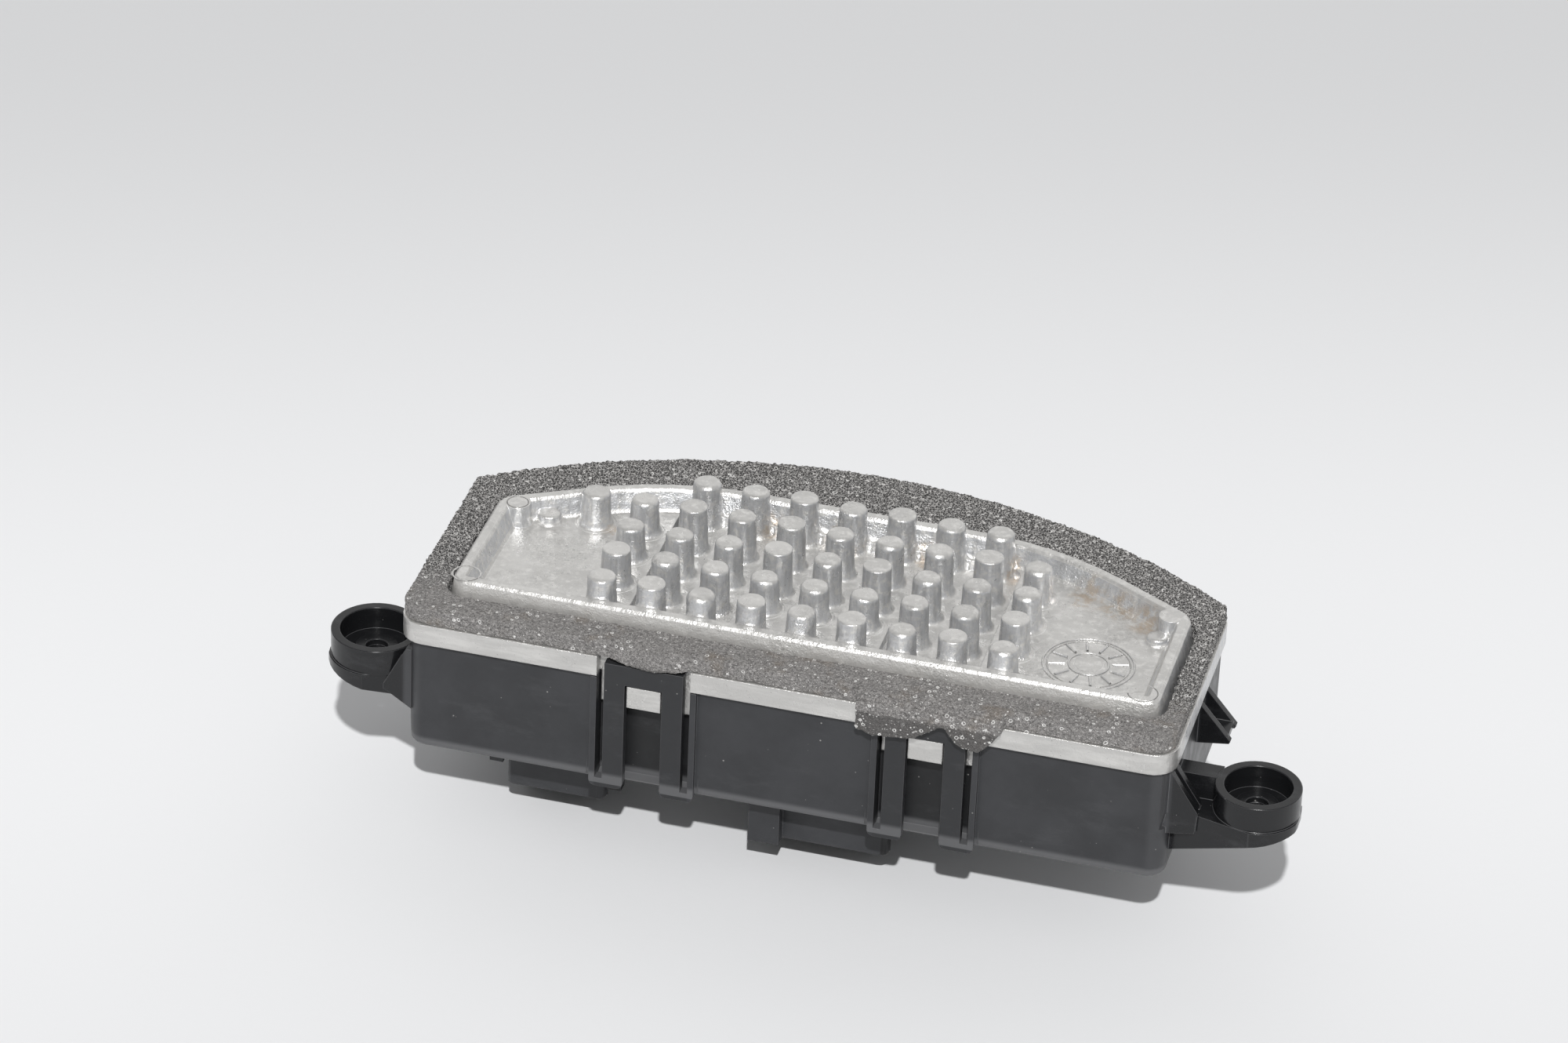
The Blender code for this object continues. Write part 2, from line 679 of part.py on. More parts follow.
def ear_solids(x, radius, side):
    """A screw ear: a boss, the foot plate under it and the web that ties both to the housing."""
    top = -EAR_DROP
    bottom = top - EAR_HEIGHT
    seat = bottom + EAR_FOOT
    y = HOUSING_INSET + EAR_FROM_FRONT
    wall = side * (HOUSING_SIDE - HOUSING_WALL / 2)
    boss = turned("ear_boss", x, y, [(radius, bottom), (radius, top)])
    foot_radius = radius + EAR_FOOT_MARGIN
    start = -side * math.pi / 2
    half_turn = arc(x, y, foot_radius, start, start + math.pi, EAR_FOOT_FACETS)
    plan = [*half_turn, (wall, y + side * foot_radius), (wall, y - side * foot_radius)]
    foot = prism("ear_foot", plan, bottom, seat)
    low, high = sorted((wall, x))
    web = block("ear_web", low, high, y - EAR_WEB / 2, y + EAR_WEB / 2, bottom, top - OVERLAP)
    return [boss, foot, web]


def ear_bore(x, radius):
    top = -EAR_DROP
    y = HOUSING_INSET + EAR_FROM_FRONT
    bore = radius - EAR_WALL
    hole = min(EAR_HOLE_RADIUS, bore - EAR_WALL / 2)
    floor = top - EAR_BORE_DEPTH
    profile = [(hole, top - EAR_HEIGHT - THROUGH), (hole, floor), (bore, floor), (bore, top + THROUGH)]
    return turned("ear_bore", x, y, profile)


def ear_gusset():
    """The upright triangle in front of the left ear."""
    wall = HOUSING_WALL / 2 - HOUSING_SIDE
    out = -HOUSING_SIDE - GUSSET_REACH
    bottom = -EAR_DROP - EAR_HEIGHT
    high = GUSSET_RISE - EAR_DROP
    profile = [
        (wall, high), (-HOUSING_SIDE, high), (out, bottom + GUSSET_TIP), (out, bottom),
        (wall, bottom - GUSSET_DROP),
    ]
    front = HOUSING_INSET + GUSSET_FROM_FRONT
    return front_prism("ear_gusset", profile, front, front + GUSSET_THICKNESS)


def guide_wedge(y, pitch, reach, foot):
    """Two upright triangular ribs, a pitch apart, that steer the housing into its slot."""
    wall = HOUSING_SIDE - HOUSING_WALL / 2
    out = HOUSING_SIDE + reach
    inner = out - WEDGE_EASE
    profile = [
        (wall, -WEDGE_TOP), (HOUSING_SIDE, -WEDGE_TOP), (out, -WEDGE_TIP), (inner, -foot), (wall, -foot),
    ]
    ribs = [front_prism("wedge_rib", profile, y + i * pitch, y + i * pitch + WEDGE_RIB) for i in (0, 1)]
    tie_end = inner - GAP
    middle = y + WEDGE_RIB / 2
    tie = block("wedge_tie", wall, tie_end, middle, middle + pitch, -foot, WEDGE_RIB - foot)
    return [*ribs, tie]


def socket_solids(left, width, front, depth):
    """A plug socket's outer form, which is wider along its front cheek, and its bore."""
    right, rear = left + width, front + depth
    narrow, cheek = right - SOCKET_STEP, front + SOCKET_CHEEK
    corners = [(left, front), (right, front), (right, cheek), (narrow, cheek), (narrow, rear), (left, rear)]
    outside = rounded(corners, [SOCKET_CORNER] * 6, 3)
    inner = SOCKET_WALL
    bore = rectangle(left + inner, narrow - inner, front + inner, rear - inner)
    shroud = prism("socket", outside, SOCKET_BOTTOM, HOUSING_BOTTOM + OVERLAP)
    hollow = prism("socket_bore", bore, SOCKET_BOTTOM - THROUGH, HOUSING_BOTTOM)
    return shroud, hollow


def socket_slant(left, width, front):
    """The wedge cut from the front of a socket's mouth, where a plug's latch passes."""
    low = HOUSING_BOTTOM - SOCKET_FRONT_DROP
    run = (low - SOCKET_BOTTOM) / math.tan(SOCKET_SLANT)
    ahead = POWER_LATCH_PROUD + THROUGH
    rise = ahead * math.tan(SOCKET_SLANT)
    start = front + SOCKET_WALL
    profile = [(start - ahead - SOCKET_WALL, low), (start, low), (start + run, SOCKET_BOTTOM),
               (start + run, SOCKET_BOTTOM - rise), (start - ahead - SOCKET_WALL, SOCKET_BOTTOM - rise)]
    return side_prism("socket_slant", profile, left - SLANT_MARGIN, left + width + SLANT_MARGIN)


def blade_places():
    """The four power contacts: the motor pair in front and the supply pair behind."""
    x = POWER_SOCKET_LEFT + (POWER_SOCKET_WIDTH - SOCKET_STEP) / 2
    y = POWER_SOCKET_FRONT + POWER_SOCKET_DEPTH / 2
    right, back = BLADE_PITCH_X / 2, BLADE_PITCH_Y / 2
    return [
        ("motor_blade_left", x - right, y - back),
        ("motor_blade_right", x + right, y - back),
        ("supply_blade_left", x - right, y + back),
        ("supply_blade_right", x + right, y + back),
    ]


def signal_places():
    x = SIGNAL_SOCKET_LEFT + (SIGNAL_SOCKET_WIDTH - SOCKET_STEP) / 2
    y = SIGNAL_SOCKET_FRONT + SIGNAL_SOCKET_DEPTH / 2
    return [(f"signal_pin_{i + 1}", x + (i - 1) * PIN_CONTACT_PITCH, y) for i in range(3)]


def post_places():
    """Board posts: two at the front corners and one under the middle of the rear arc."""
    half = HOUSING_SIDE - HOUSING_WALL - POST_INSET_X
    front = HOUSING_INSET + HOUSING_WALL + POST_INSET_Y
    rear = PLATE_DEPTH - HOUSING_INSET - HOUSING_WALL - POST_INSET_Y
    return [(-half, front), (half, front), (0.0, rear)]


def make_housing():
    housing = housing_shell()
    inner = housing_outline(HOUSING_INSET + HOUSING_WALL)
    cut(housing, prism("cavity", inner, CAVITY_FLOOR, HOUSING_TOP + THROUGH))
    for x in LATCH_PLACES:
        add(housing, latch_bay(x))
        cut(housing, latch_recess(x))
        add(housing, *latch_ribs(x), latch_loop(x))
    for x, radius, side in ((EAR_LEFT_X, EAR_LEFT_RADIUS, -1), (EAR_RIGHT_X, EAR_RIGHT_RADIUS, 1)):
        add(housing, *ear_solids(x, radius, side))
        if side < 0:
            add(housing, ear_gusset())
        cut(housing, ear_bore(x, radius))
    add(housing, *guide_wedge(WEDGE_FRONT_Y, WEDGE_FRONT_PITCH, WEDGE_FRONT_REACH, WEDGE_FRONT_FOOT))
    add(housing, *guide_wedge(WEDGE_REAR_Y, WEDGE_REAR_PITCH, WEDGE_REAR_REACH, WEDGE_REAR_FOOT))
    sockets = (
        (POWER_SOCKET_LEFT, POWER_SOCKET_WIDTH, POWER_SOCKET_FRONT, POWER_SOCKET_DEPTH),
        (SIGNAL_SOCKET_LEFT, SIGNAL_SOCKET_WIDTH, SIGNAL_SOCKET_FRONT, SIGNAL_SOCKET_DEPTH),
    )
    for left, width, front, depth in sockets:
        shroud, hollow = socket_solids(left, width, front, depth)
        cut(shroud, socket_slant(left, width, front))
        add(housing, shroud)
        cut(housing, hollow)
    add(housing, *socket_details())
    for x, y in post_places():
        post = [(POST_RADIUS, CAVITY_FLOOR - OVERLAP), (POST_RADIUS, BOARD_BOTTOM - GAP)]
        core = [(SCREW_RADIUS + GAP, HOUSING_BOTTOM + POST_CORE), (SCREW_RADIUS + GAP, BOARD_BOTTOM)]
        add(housing, turned("post", x, y, post, POST_SIDES))
        cut(housing, turned("post_core", x, y, core, SCREW_SIDES))
    for _name, x, y in blade_places():
        cut(housing, contact_slot(x, y, BLADE_WIDTH, BLADE_THICKNESS))
    for _name, x, y in signal_places():
        cut(housing, contact_slot(x, y, PIN_CONTACT, PIN_CONTACT))
    finish(housing, (0.035, 0.035, 0.038), 0.45)
    return housing


def contact_slot(x, y, width, thickness):
    half, deep = width / 2 + GAP, thickness / 2 + GAP
    low, high = HOUSING_BOTTOM - THROUGH, CAVITY_FLOOR + THROUGH
    return block("slot", x - half, x + half, y - deep, y + deep, low, high)


def socket_details():
    """The latch block on the power socket, and the tab and rail beside the signal socket."""
    low = HOUSING_BOTTOM - SOCKET_FRONT_DROP
    root = HOUSING_BOTTOM + OVERLAP
    latch = block("socket_latch", POWER_SOCKET_LEFT, POWER_SOCKET_LEFT + POWER_LATCH_WIDTH,
                  POWER_SOCKET_FRONT - POWER_LATCH_PROUD, POWER_SOCKET_FRONT + SOCKET_WALL, low, root)
    right = SIGNAL_SOCKET_LEFT + SIGNAL_SOCKET_WIDTH + SIGNAL_TAB_GAP
    y = SIGNAL_SOCKET_FRONT
    tab = block("socket_tab", right, right + SIGNAL_TAB_WIDTH, y, y + SIGNAL_TAB_WIDTH,
                HOUSING_BOTTOM - SIGNAL_TAB_DROP, root)
    rail_right = SIGNAL_SOCKET_LEFT - SIGNAL_TAB_GAP
    rail = block("socket_rail", rail_right - SIGNAL_RAIL_WIDTH, rail_right, y, y + SIGNAL_RAIL_WIDTH,
                 HOUSING_BOTTOM - SIGNAL_RAIL_DROP, root)
    return latch, tab, rail


def make_board():
    low, high = BOARD_BOTTOM - THROUGH, BOARD_TOP + THROUGH
    edge = housing_outline(HOUSING_INSET + HOUSING_WALL + BOARD_MARGIN)
    board = prism("circuit_board", edge, BOARD_BOTTOM, BOARD_TOP)
    margin = BAY_WALL + BOARD_MARGIN
    for x in LATCH_PLACES:
        half = BAY_HALF + margin
        cut(board, block("bay_notch", x - half, x + half, -THROUGH, BAY_BACK + margin, low, high))
    radius = SCREW_RADIUS + GAP
    for x, y in post_places():
        cut(board, turned("screw_hole", x, y, [(radius, low), (radius, high)], SCREW_SIDES))
    for _name, x, y in blade_places():
        half, deep = BLADE_WIDTH / 2 + GAP, BLADE_THICKNESS / 2 + GAP
        cut(board, block("blade_hole", x - half, x + half, y - deep, y + deep, low, high))
    half = PIN_CONTACT / 2 + GAP
    for _name, x, y in signal_places():
        cut(board, block("pin_hole", x - half, x + half, y - half, y + half, low, high))
    finish(board, (0.03, 0.16, 0.06), 0.5)


def make_contacts():
    """Blades and pins stand through the board and the floor, and end inside their sockets."""
    low = SOCKET_BOTTOM + BLADE_RECESS
    high = BOARD_TOP + BLADE_TIP
    for name, x, y in blade_places():
        half = BLADE_WIDTH / 2
        corners = [(x - half, high), (x - half, low + BLADE_TIP), (x - half + BLADE_TIP, low),
                   (x + half - BLADE_TIP, low), (x + half, low + BLADE_TIP), (x + half, high)]
        blade = front_prism(name, corners, y - BLADE_THICKNESS / 2, y + BLADE_THICKNESS / 2)
        finish(blade, (0.70, 0.69, 0.66), 0.3, 1.0)
    for name, x, y in signal_places():
        half = PIN_CONTACT / 2
        tip = half / 2
        rings = []
        for size, z in ((half, high), (half, low + BLADE_TIP), (tip, low)):
            rings.append([(px, py, z) for px, py in rectangle(x - size, x + size, y - size, y + size)])
        finish(loft(name, rings), (0.70, 0.69, 0.66), 0.3, 1.0)


def make_board_screws():
    for number, (x, y) in enumerate(post_places(), 1):
        seat = BOARD_TOP + GAP
        end = CAVITY_FLOOR - HOUSING_FLOOR / 2 + POST_CORE
        profile = [
            (SCREW_RADIUS, end), (SCREW_RADIUS, seat), (SCREW_HEAD_RADIUS, seat),
            (SCREW_HEAD_RADIUS, seat + SCREW_HEAD / 2),
            (SCREW_HEAD_RADIUS * SCREW_CROWN, seat + SCREW_HEAD),
        ]
        finish(turned(f"board_screw_{number}", x, y, profile, SCREW_SIDES), (0.55, 0.55, 0.56), 0.35, 1.0)


def make_transistors():
    """Two power transistors, flat against their pads, with three leads down to the board."""
    x0, y0 = clamp_centre()
    for side, word in ((-1, "left"), (1, "right")):
        x = x0 + side * TRANSISTOR_SPACING / 2
        half, long = TRANSISTOR_WIDTH / 2, TRANSISTOR_LENGTH / 2
        low, high = TRANSISTOR_BOTTOM, TRANSISTOR_TOP
        body = block(f"transistor_{word}", x - half, x + half, y0 - long, y0 + long, low, high)
        middle = (low + high) / 2
        out = y0 - long - LEAD_REACH
        for i in (-1, 0, 1):
            lead_x = x + i * LEAD_PITCH
            profile = [
                (y0 - long + OVERLAP, middle), (out, middle), (out, BOARD_TOP + GAP),
                (out + LEAD_THICKNESS, BOARD_TOP + GAP), (out + LEAD_THICKNESS, middle - LEAD_THICKNESS),
                (y0 - long + OVERLAP, middle - LEAD_THICKNESS),
            ]
            add(body, side_prism("lead", profile, lead_x - LEAD_WIDTH / 2, lead_x + LEAD_WIDTH / 2))
        finish(body, (0.02, 0.02, 0.022), 0.5)
        half, long = half + PAD_MARGIN, long + PAD_MARGIN
        pad = block(f"insulating_pad_{word}", x - half, x + half, y0 - long, y0 + long, PAD_BOTTOM, PAD_TOP)
        finish(pad, (0.55, 0.57, 0.60), 0.7)


def make_clamp():
    """A flat steel spring that bridges both transistors, held by one screw in the casting's boss."""
    x, y = clamp_centre()
    reach = TRANSISTOR_SPACING / 2 + TRANSISTOR_WIDTH / 2 - CLAMP_ARM / 2
    high = TRANSISTOR_BOTTOM - GAP
    low = high - CLAMP_THICKNESS
    plan = rectangle(x - reach, x + reach, y - CLAMP_WIDTH / 2, y + CLAMP_WIDTH / 2)
    clamp = prism("clamp_spring", rounded(plan, [CLAMP_CORNER] * 4, 3), low, high)
    hole = CLAMP_SCREW_RADIUS + GAP
    cut(clamp, turned("clamp_hole", x, y, [(hole, low - THROUGH), (hole, high + THROUGH)], POST_SIDES))
    finish(clamp, (0.45, 0.45, 0.46), 0.35, 1.0)
    seat = low - GAP
    profile = [
        (CLAMP_SCREW_HEAD * SCREW_CROWN, seat - CLAMP_SCREW_HEIGHT),
        (CLAMP_SCREW_HEAD, seat - CLAMP_SCREW_RIM),
        (CLAMP_SCREW_HEAD, seat),
        (CLAMP_SCREW_RADIUS, seat),
        (CLAMP_SCREW_RADIUS, seat + CLAMP_SCREW_LENGTH),
    ]
    finish(turned("clamp_screw", x, y, profile, POST_SIDES), (0.55, 0.55, 0.56), 0.35, 1.0)


def capacitor(name, x, y, radius, height):
    """An electrolytic can: a rolled groove above its seal and a slightly domed top."""
    low = BOARD_TOP + GAP
    high = low + height
    groove = low + CAPACITOR_SEAL + CAPACITOR_GROOVE
    profile = [
        (radius, low), (radius, groove - CAPACITOR_GROOVE), (radius - CAPACITOR_GROOVE_DEPTH, groove),
        (radius, groove + CAPACITOR_GROOVE), (radius, high - CAPACITOR_EDGE), (radius - CAPACITOR_EDGE, high),
    ]
    finish(turned(name, x, y, profile, CAN_SIDES), (0.06, 0.07, 0.09), 0.35)


def make_capacitors():
    half = HOUSING_SIDE - HOUSING_WALL - BOARD_MARGIN
    side = POST_INSET_X + POST_RADIUS + CAPACITOR_RADIUS
    y = TRANSISTOR_Y
    capacitor("capacitor_left", side - half, y, CAPACITOR_RADIUS, CAPACITOR_HEIGHT)
    capacitor("capacitor_right", half - side, y, CAPACITOR_RADIUS, CAPACITOR_HEIGHT)
    y -= CAPACITOR_RADIUS + SMALL_CAPACITOR_RADIUS + CAPACITOR_SPACING
    capacitor("small_capacitor", half - side, y, SMALL_CAPACITOR_RADIUS, SMALL_CAPACITOR_HEIGHT)


def make_choke():
    """A rod choke lying on the board behind the transistors: a ferrite core in a wire winding."""
    x0 = DISH_SHIFT
    y = TRANSISTOR_Y + TRANSISTOR_LENGTH / 2 + WINDING_WIRE + CHOKE_RADIUS + CHOKE_SPACING
    z = BOARD_TOP + GAP + WINDING_WIRE + GAP + CHOKE_RADIUS
    half = CHOKE_LENGTH / 2
    x = x0 - TRANSISTOR_SPACING / 2 - half
    ring = circle(y, z, CHOKE_RADIUS, POST_SIDES)
    core = side_prism("choke_core", ring, x - half, x + half)
    finish(core, (0.05, 0.05, 0.055), 0.6)
    radius = CHOKE_RADIUS + GAP + WINDING_WIRE / 2
    steps = WINDING_TURNS * WINDING_STEPS
    pitch = WINDING_WIRE + GAP
    start = x - pitch * WINDING_TURNS / 2
    rings = []
    for i in range(steps + 1):
        turn = math.tau * i / WINDING_STEPS - math.pi / 2
        along = start + pitch * i / WINDING_STEPS
        rings.append([
            (along + WINDING_WIRE / 2 * math.cos(a),
             y + (radius + WINDING_WIRE / 2 * math.sin(a)) * math.cos(turn),
             z + (radius + WINDING_WIRE / 2 * math.sin(a)) * math.sin(turn))
            for a in (math.tau * k / WIRE_SIDES for k in range(WIRE_SIDES))
        ])
    finish(loft("choke_winding", rings), (0.55, 0.22, 0.08), 0.35, 1.0)


def make_shunt():
    """A bent metal strip that bridges two pads on the board."""
    x = DISH_SHIFT - TRANSISTOR_SPACING / 2
    y = TRANSISTOR_Y - SHUNT_FORWARD
    low = BOARD_TOP + GAP
    half, thick = SHUNT_LENGTH / 2, SHUNT_THICKNESS
    knee, high = half - SHUNT_FOOT, low + SHUNT_RISE
    right = [(knee, high - thick), (knee, low), (half, low), (half, low + thick), (knee + thick, low + thick),
             (knee + thick, high)]
    corners = [*right, *((-px, pz) for px, pz in reversed(right))]
    outline = [(x + px, pz) for px, pz in corners]
    shunt = front_prism("shunt_resistor", outline, y - SHUNT_WIDTH / 2, y + SHUNT_WIDTH / 2)
    finish(shunt, (0.45, 0.36, 0.30), 0.4, 1.0)


def make_chips():
    """The control chip with its two rows of leads, and the suppressor diode behind it."""
    low = BOARD_TOP + GAP
    x = DISH_SHIFT + (TRANSISTOR_SPACING + TRANSISTOR_WIDTH) / 2
    y = TRANSISTOR_Y - CHIP_FORWARD
    half, deep = CHIP_LENGTH / 2, CHIP_WIDTH / 2
    base = low + CHIP_RISE
    chip = block("control_chip", x - half, x + half, y - deep, y + deep, base, base + CHIP_HEIGHT)
    reach = deep + CHIP_LEAD
    for i in range(CHIP_LEADS):
        lead_x = x + (i - (CHIP_LEADS - 1) / 2) * CHIP_LENGTH / CHIP_LEADS
        left, right = lead_x - CHIP_LEAD_WIDTH / 2, lead_x + CHIP_LEAD_WIDTH / 2
        add(chip, block("chip_lead", left, right, y - reach, y + reach, low, low + CHIP_LEAD_WIDTH))
    finish(chip, (0.02, 0.02, 0.022), 0.5)
    front = y + reach + DIODE_SPACING
    half, high = DIODE_LENGTH / 2, low + DIODE_HEIGHT
    outline = [(x - half, low), (x + half, low), (x + half - DIODE_EASE, high), (x - half + DIODE_EASE, high)]
    finish(front_prism("suppressor_diode", outline, front, front + DIODE_WIDTH), (0.02, 0.02, 0.022), 0.5)


def place_on_origin():
    """Moves everything so that the origin is the middle of the footprint, on the resting surface."""
    left = EAR_LEFT_X - EAR_LEFT_RADIUS - EAR_FOOT_MARGIN
    right = EAR_RIGHT_X + EAR_RIGHT_RADIUS + EAR_FOOT_MARGIN
    front = LATCH_FRONT - GAP - FLAP_THICKNESS
    root = bpy.data.objects.new("blower_resistor", None)
    bpy.context.scene.collection.objects.link(root)
    for obj in bpy.data.objects:
        if obj is not root:
            obj.parent = root
    root.location = (-(left + right) / 2 * MM, -(front + PLATE_DEPTH) / 2 * MM, -SOCKET_BOTTOM * MM)


def main():
    for obj in list(bpy.data.objects):
        bpy.data.objects.remove(obj)
    make_housing()
    make_heat_sink()
    make_foam_gasket()
    make_board()
    make_contacts()
    make_board_screws()
    make_transistors()
    make_clamp()
    make_capacitors()
    make_choke()
    make_shunt()
    make_chips()
    place_on_origin()


main()
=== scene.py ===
"""Looks of the heater blower resistor: camera, light, floor, and the finish of every piece.

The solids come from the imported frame. The heat sink is shown by a copy with rounder pins and
casting marks, the housing by a copy with finer ears, wedges and lower edge, and the gasket by an
open-cell foam piece. All other pieces keep their solids and get a finish here.

Lengths are in millimetres in the drawing frame of the part, where X runs along the front edge from
the middle of the casting, Y runs back from the flange and Z = 0 is the underside of the flange;
place() turns them into metres in the scene.
"""

import math
import random

import bmesh
import bpy
from mathutils import Matrix, Vector, noise


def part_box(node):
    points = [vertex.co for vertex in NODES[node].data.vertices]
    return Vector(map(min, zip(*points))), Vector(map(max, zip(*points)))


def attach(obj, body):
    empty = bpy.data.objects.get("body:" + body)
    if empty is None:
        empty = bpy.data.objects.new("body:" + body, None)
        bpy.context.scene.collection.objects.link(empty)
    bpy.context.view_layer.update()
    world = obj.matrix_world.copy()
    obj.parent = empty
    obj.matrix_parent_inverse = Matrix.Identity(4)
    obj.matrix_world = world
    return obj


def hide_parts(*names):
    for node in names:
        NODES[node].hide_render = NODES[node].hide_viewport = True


bl_info = {
    "name": "Blower resistor looks",
    "version": (1, 0, 0),
    "blender": (4, 5, 0),
    "location": "View3D > Sidebar > Resistor",
    "description": "Dresses the heater blower resistor and sets its stage",
    "category": "Object",
}

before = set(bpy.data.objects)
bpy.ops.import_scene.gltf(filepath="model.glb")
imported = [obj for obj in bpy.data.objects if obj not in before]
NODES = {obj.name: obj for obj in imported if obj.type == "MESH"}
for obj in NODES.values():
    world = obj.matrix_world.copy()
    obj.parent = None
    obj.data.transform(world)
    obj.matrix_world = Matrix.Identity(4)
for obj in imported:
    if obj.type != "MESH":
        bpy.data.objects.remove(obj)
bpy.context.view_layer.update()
SINK_LOW, SINK_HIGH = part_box("heat_sink")
MM = 0.001
SOFT_ANGLE = math.radians(28.0)

# Sizes of the casting, repeated from the part's source
PIN_TOP = 11.3
RIM_TOP = 8.4
POCKET_FLOOR = 5.0
PIT_FLOOR = 3.3
PLATE_HALF_WIDTH = 61.6
PIN_PITCH = 8.0
PIN_RADIUS = 2.24
PIN_DRAFT = 0.2
PIN_FOOT = 0.7
PIN_FIRST_Y = 11.3
PIN_FIRST_X = -39.95
PIN_ROWS = ((1, 9), (1, 9), (1, 9), (0, 9), (2, 8))
DISH_HALF_WIDTH = 56.15
DISH_REAR = 47.1
DISH_SHIFT = 1.1
SHOULDER_RUN = 24.4
SHOULDER_ANGLE = math.radians(30.0)
PIT_LEFT = -27.95
PIT_RIGHT = 28.05
PIT_FRONT = 10.7
PIT_REAR = 43.15
PAD_LEFT = -11.95
PAD_RIGHT = 12.05
PAD_REAR = 21.7
RING_CENTRE = (43.85, 19.5)
RING_RADIUS = 7.1
RING_STROKES = 12
# Of each ejector ring on the rim: x, y and radius; of each lump on the pocket floor: also its rise
EJECTOR_RINGS = ((54.4, 9.1, 2.3), (-51.95, 32.0, 1.7), (-53.2, 9.2, 2.2))
LUMPS = ((-47.1, 33.4, 1.9, 1.7), (52.6, 29.0, 1.7, 1.3), (-40.0, 36.6, 1.2, 0.7))

# How the pins are cast: their rings and foot, and those (column, row) whose top stayed crisp
PIN_SIDES = 36
FOOT_STEPS = 6
SHAFT_STEPS = 5
TOP_STEPS = 5
PIN_FLARE = 0.85
PIN_FLARE_RISE = 1.5
CRISP_PINS = {
    (2, 0), (4, 0), (6, 0), (8, 0), (1, 1), (9, 1), (4, 2), (6, 2),
    (2, 3), (4, 3), (8, 3), (1, 4), (4, 4), (6, 4),
}

LATCH_SHIFT = 0.65
LATCH_REACH = 22.4
BAY_HALF = 7.5

# Sizes of the housing: down to SOLID_ROUND repeated from the part's source, the others as it is shown
HOUSING_INSET = 0.9
HOUSING_SHIFT = 0.35
FRONT_CORNER = 4.0
CORNER_FACETS = 6
REAR_ARC_RADIUS = 100.85
REAR_ARC_Y = -39.15
SOLID_BOTTOM = -19.1
SOLID_ROUND = 3.0
HOUSING_BOTTOM = -19.7
HOUSING_ROUND = 1.2
HOUSING_SIDE = 60.7
WALL_INSIDE = 59.8
EAR_TOP = -3.7
EAR_FLOOR = -7.5
EAR_SEAT = -8.0
EAR_BOTTOM = -10.7
EAR_Y = 8.0
EAR_WALL = 1.45
EAR_MARGIN = 0.35
EAR_RETREAT = 3.6
EAR_HOLE = 1.7
EAR_RING = 3.4
EAR_TIP_TAPER = 0.20
# Of each screw ear: centre in X, radius, the web's shift backwards, and the foot plate's taper
EARS = ((-67.45, 7.2, 0.0, 0.27), (73.55, 6.7, 1.8, 0.40))
EAR_EDGE = 0.12
EAR_WEB = 3.4
# The gusset by the left ear: its outline in X and Z, and its front and back in Y
GUSSET = (
    (-WALL_INSIDE, -2.7), (-HOUSING_SIDE, -2.7), (-64.35, -9.8), (-64.35, EAR_BOTTOM),
    (-WALL_INSIDE, -13.6),
)
GUSSET_DEPTH = (1.9, 3.5)
WEDGE_RIB = 1.2
# Of each guide wedge: front in Y, pitch of its two ribs, reach, and the levels of its tip and foot
WEDGES = ((2.6, 2.4, 4.6, 7.2, 11.0), (23.0, 4.6, 5.6, 6.9, 7.3))

# Rough and stained places of the casting: x, y, z and radius
ROUGH_SPOTS = (
    (-43.0, 25.0, 5.0, 6.5), (-36.5, 28.0, 5.0, 4.0), (-16.0, 41.0, 5.0, 7.0), (2.0, 44.0, 5.0, 6.0),
    (-24.0, 38.0, 4.0, 6.0), (14.0, 40.0, 4.0, 6.0), (46.0, 36.5, 5.5, 5.0),
)
STAIN_SPOTS = (
    (40.0, 38.0, 5.5, 4.5), (45.0, 36.0, 5.5, 4.0), (50.0, 33.5, 5.5, 4.0), (-13.0, 43.0, 4.5, 3.5),
    (-1.0, 43.0, 4.5, 4.5), (13.0, 43.0, 4.5, 4.0), (25.6, 43.5, 4.5, 4.0), (-36.5, 33.5, 6.0, 2.5),
    (55.0, 3.6, 6.0, 3.0), (-56.3, 12.0, 6.0, 2.5),
)

# The foam: its level and thickness, repeated from the part's source, and how its front edge hangs
FOAM_TOP = 6.45
FOAM_THICKNESS = 2.65
FOAM_SEAT = 0.25
BULGE_X = LATCH_SHIFT - LATCH_REACH + 1.0
BULGE_HALF_WIDTH = 6.5
BULGE_DEPTH = 2.2
BULGE_DROP = 0.9

# The foam's painted glints: size of their cells, share left bare, radius and width of a ring, in cells
PAINTED_FOAM_GLINTS = ((1.35, 0.50, 0.20, 0.07), (0.75, 0.62, 0.0, 0.24), (0.5, 0.48, 0.0, 0.20))

# Tones that the settings don't hold
# Painted glints in the casting's rough patches, and its edges, partly wear and partly painted highlight
GLINT_AND_WEAR_METAL = (0.95, 0.94, 0.92, 1.0)
# Pale edge lines of the plastic, partly wear and partly painted highlight
PLASTIC_EDGE = (0.15, 0.15, 0.155, 1.0)
PLASTIC_DUST = (0.50, 0.49, 0.47, 1.0)
# Painted reflection of the floor along the housing's lower edge and front corners
PLASTIC_PAINTED_SHEEN = (0.13, 0.131, 0.136, 1.0)
PLASTIC_SMEAR = (0.085, 0.087, 0.092, 1.0)
FOAM_PATCH = (0.20, 0.165, 0.13, 1.0)
# White of the foam's painted glints
PAINTED_GLINT_WHITE = (0.86, 0.85, 0.83, 1.0)

# The camera that the part is seen through, with its place in metres
CAMERA_AZIMUTH = math.radians(13.743)
CAMERA_ELEVATION = math.radians(31.591)
CAMERA_ROLL = math.radians(2.507)
CAMERA_PLACE = Vector((0.180227, -0.780753, 0.542559))
CAMERA_LENS = 138.66
CAMERA_SENSOR = 36.0

ORIGIN = Vector(((SINK_LOW.x + SINK_HIGH.x) / 2, SINK_LOW.y, SINK_HIGH.z - PIN_TOP * MM))


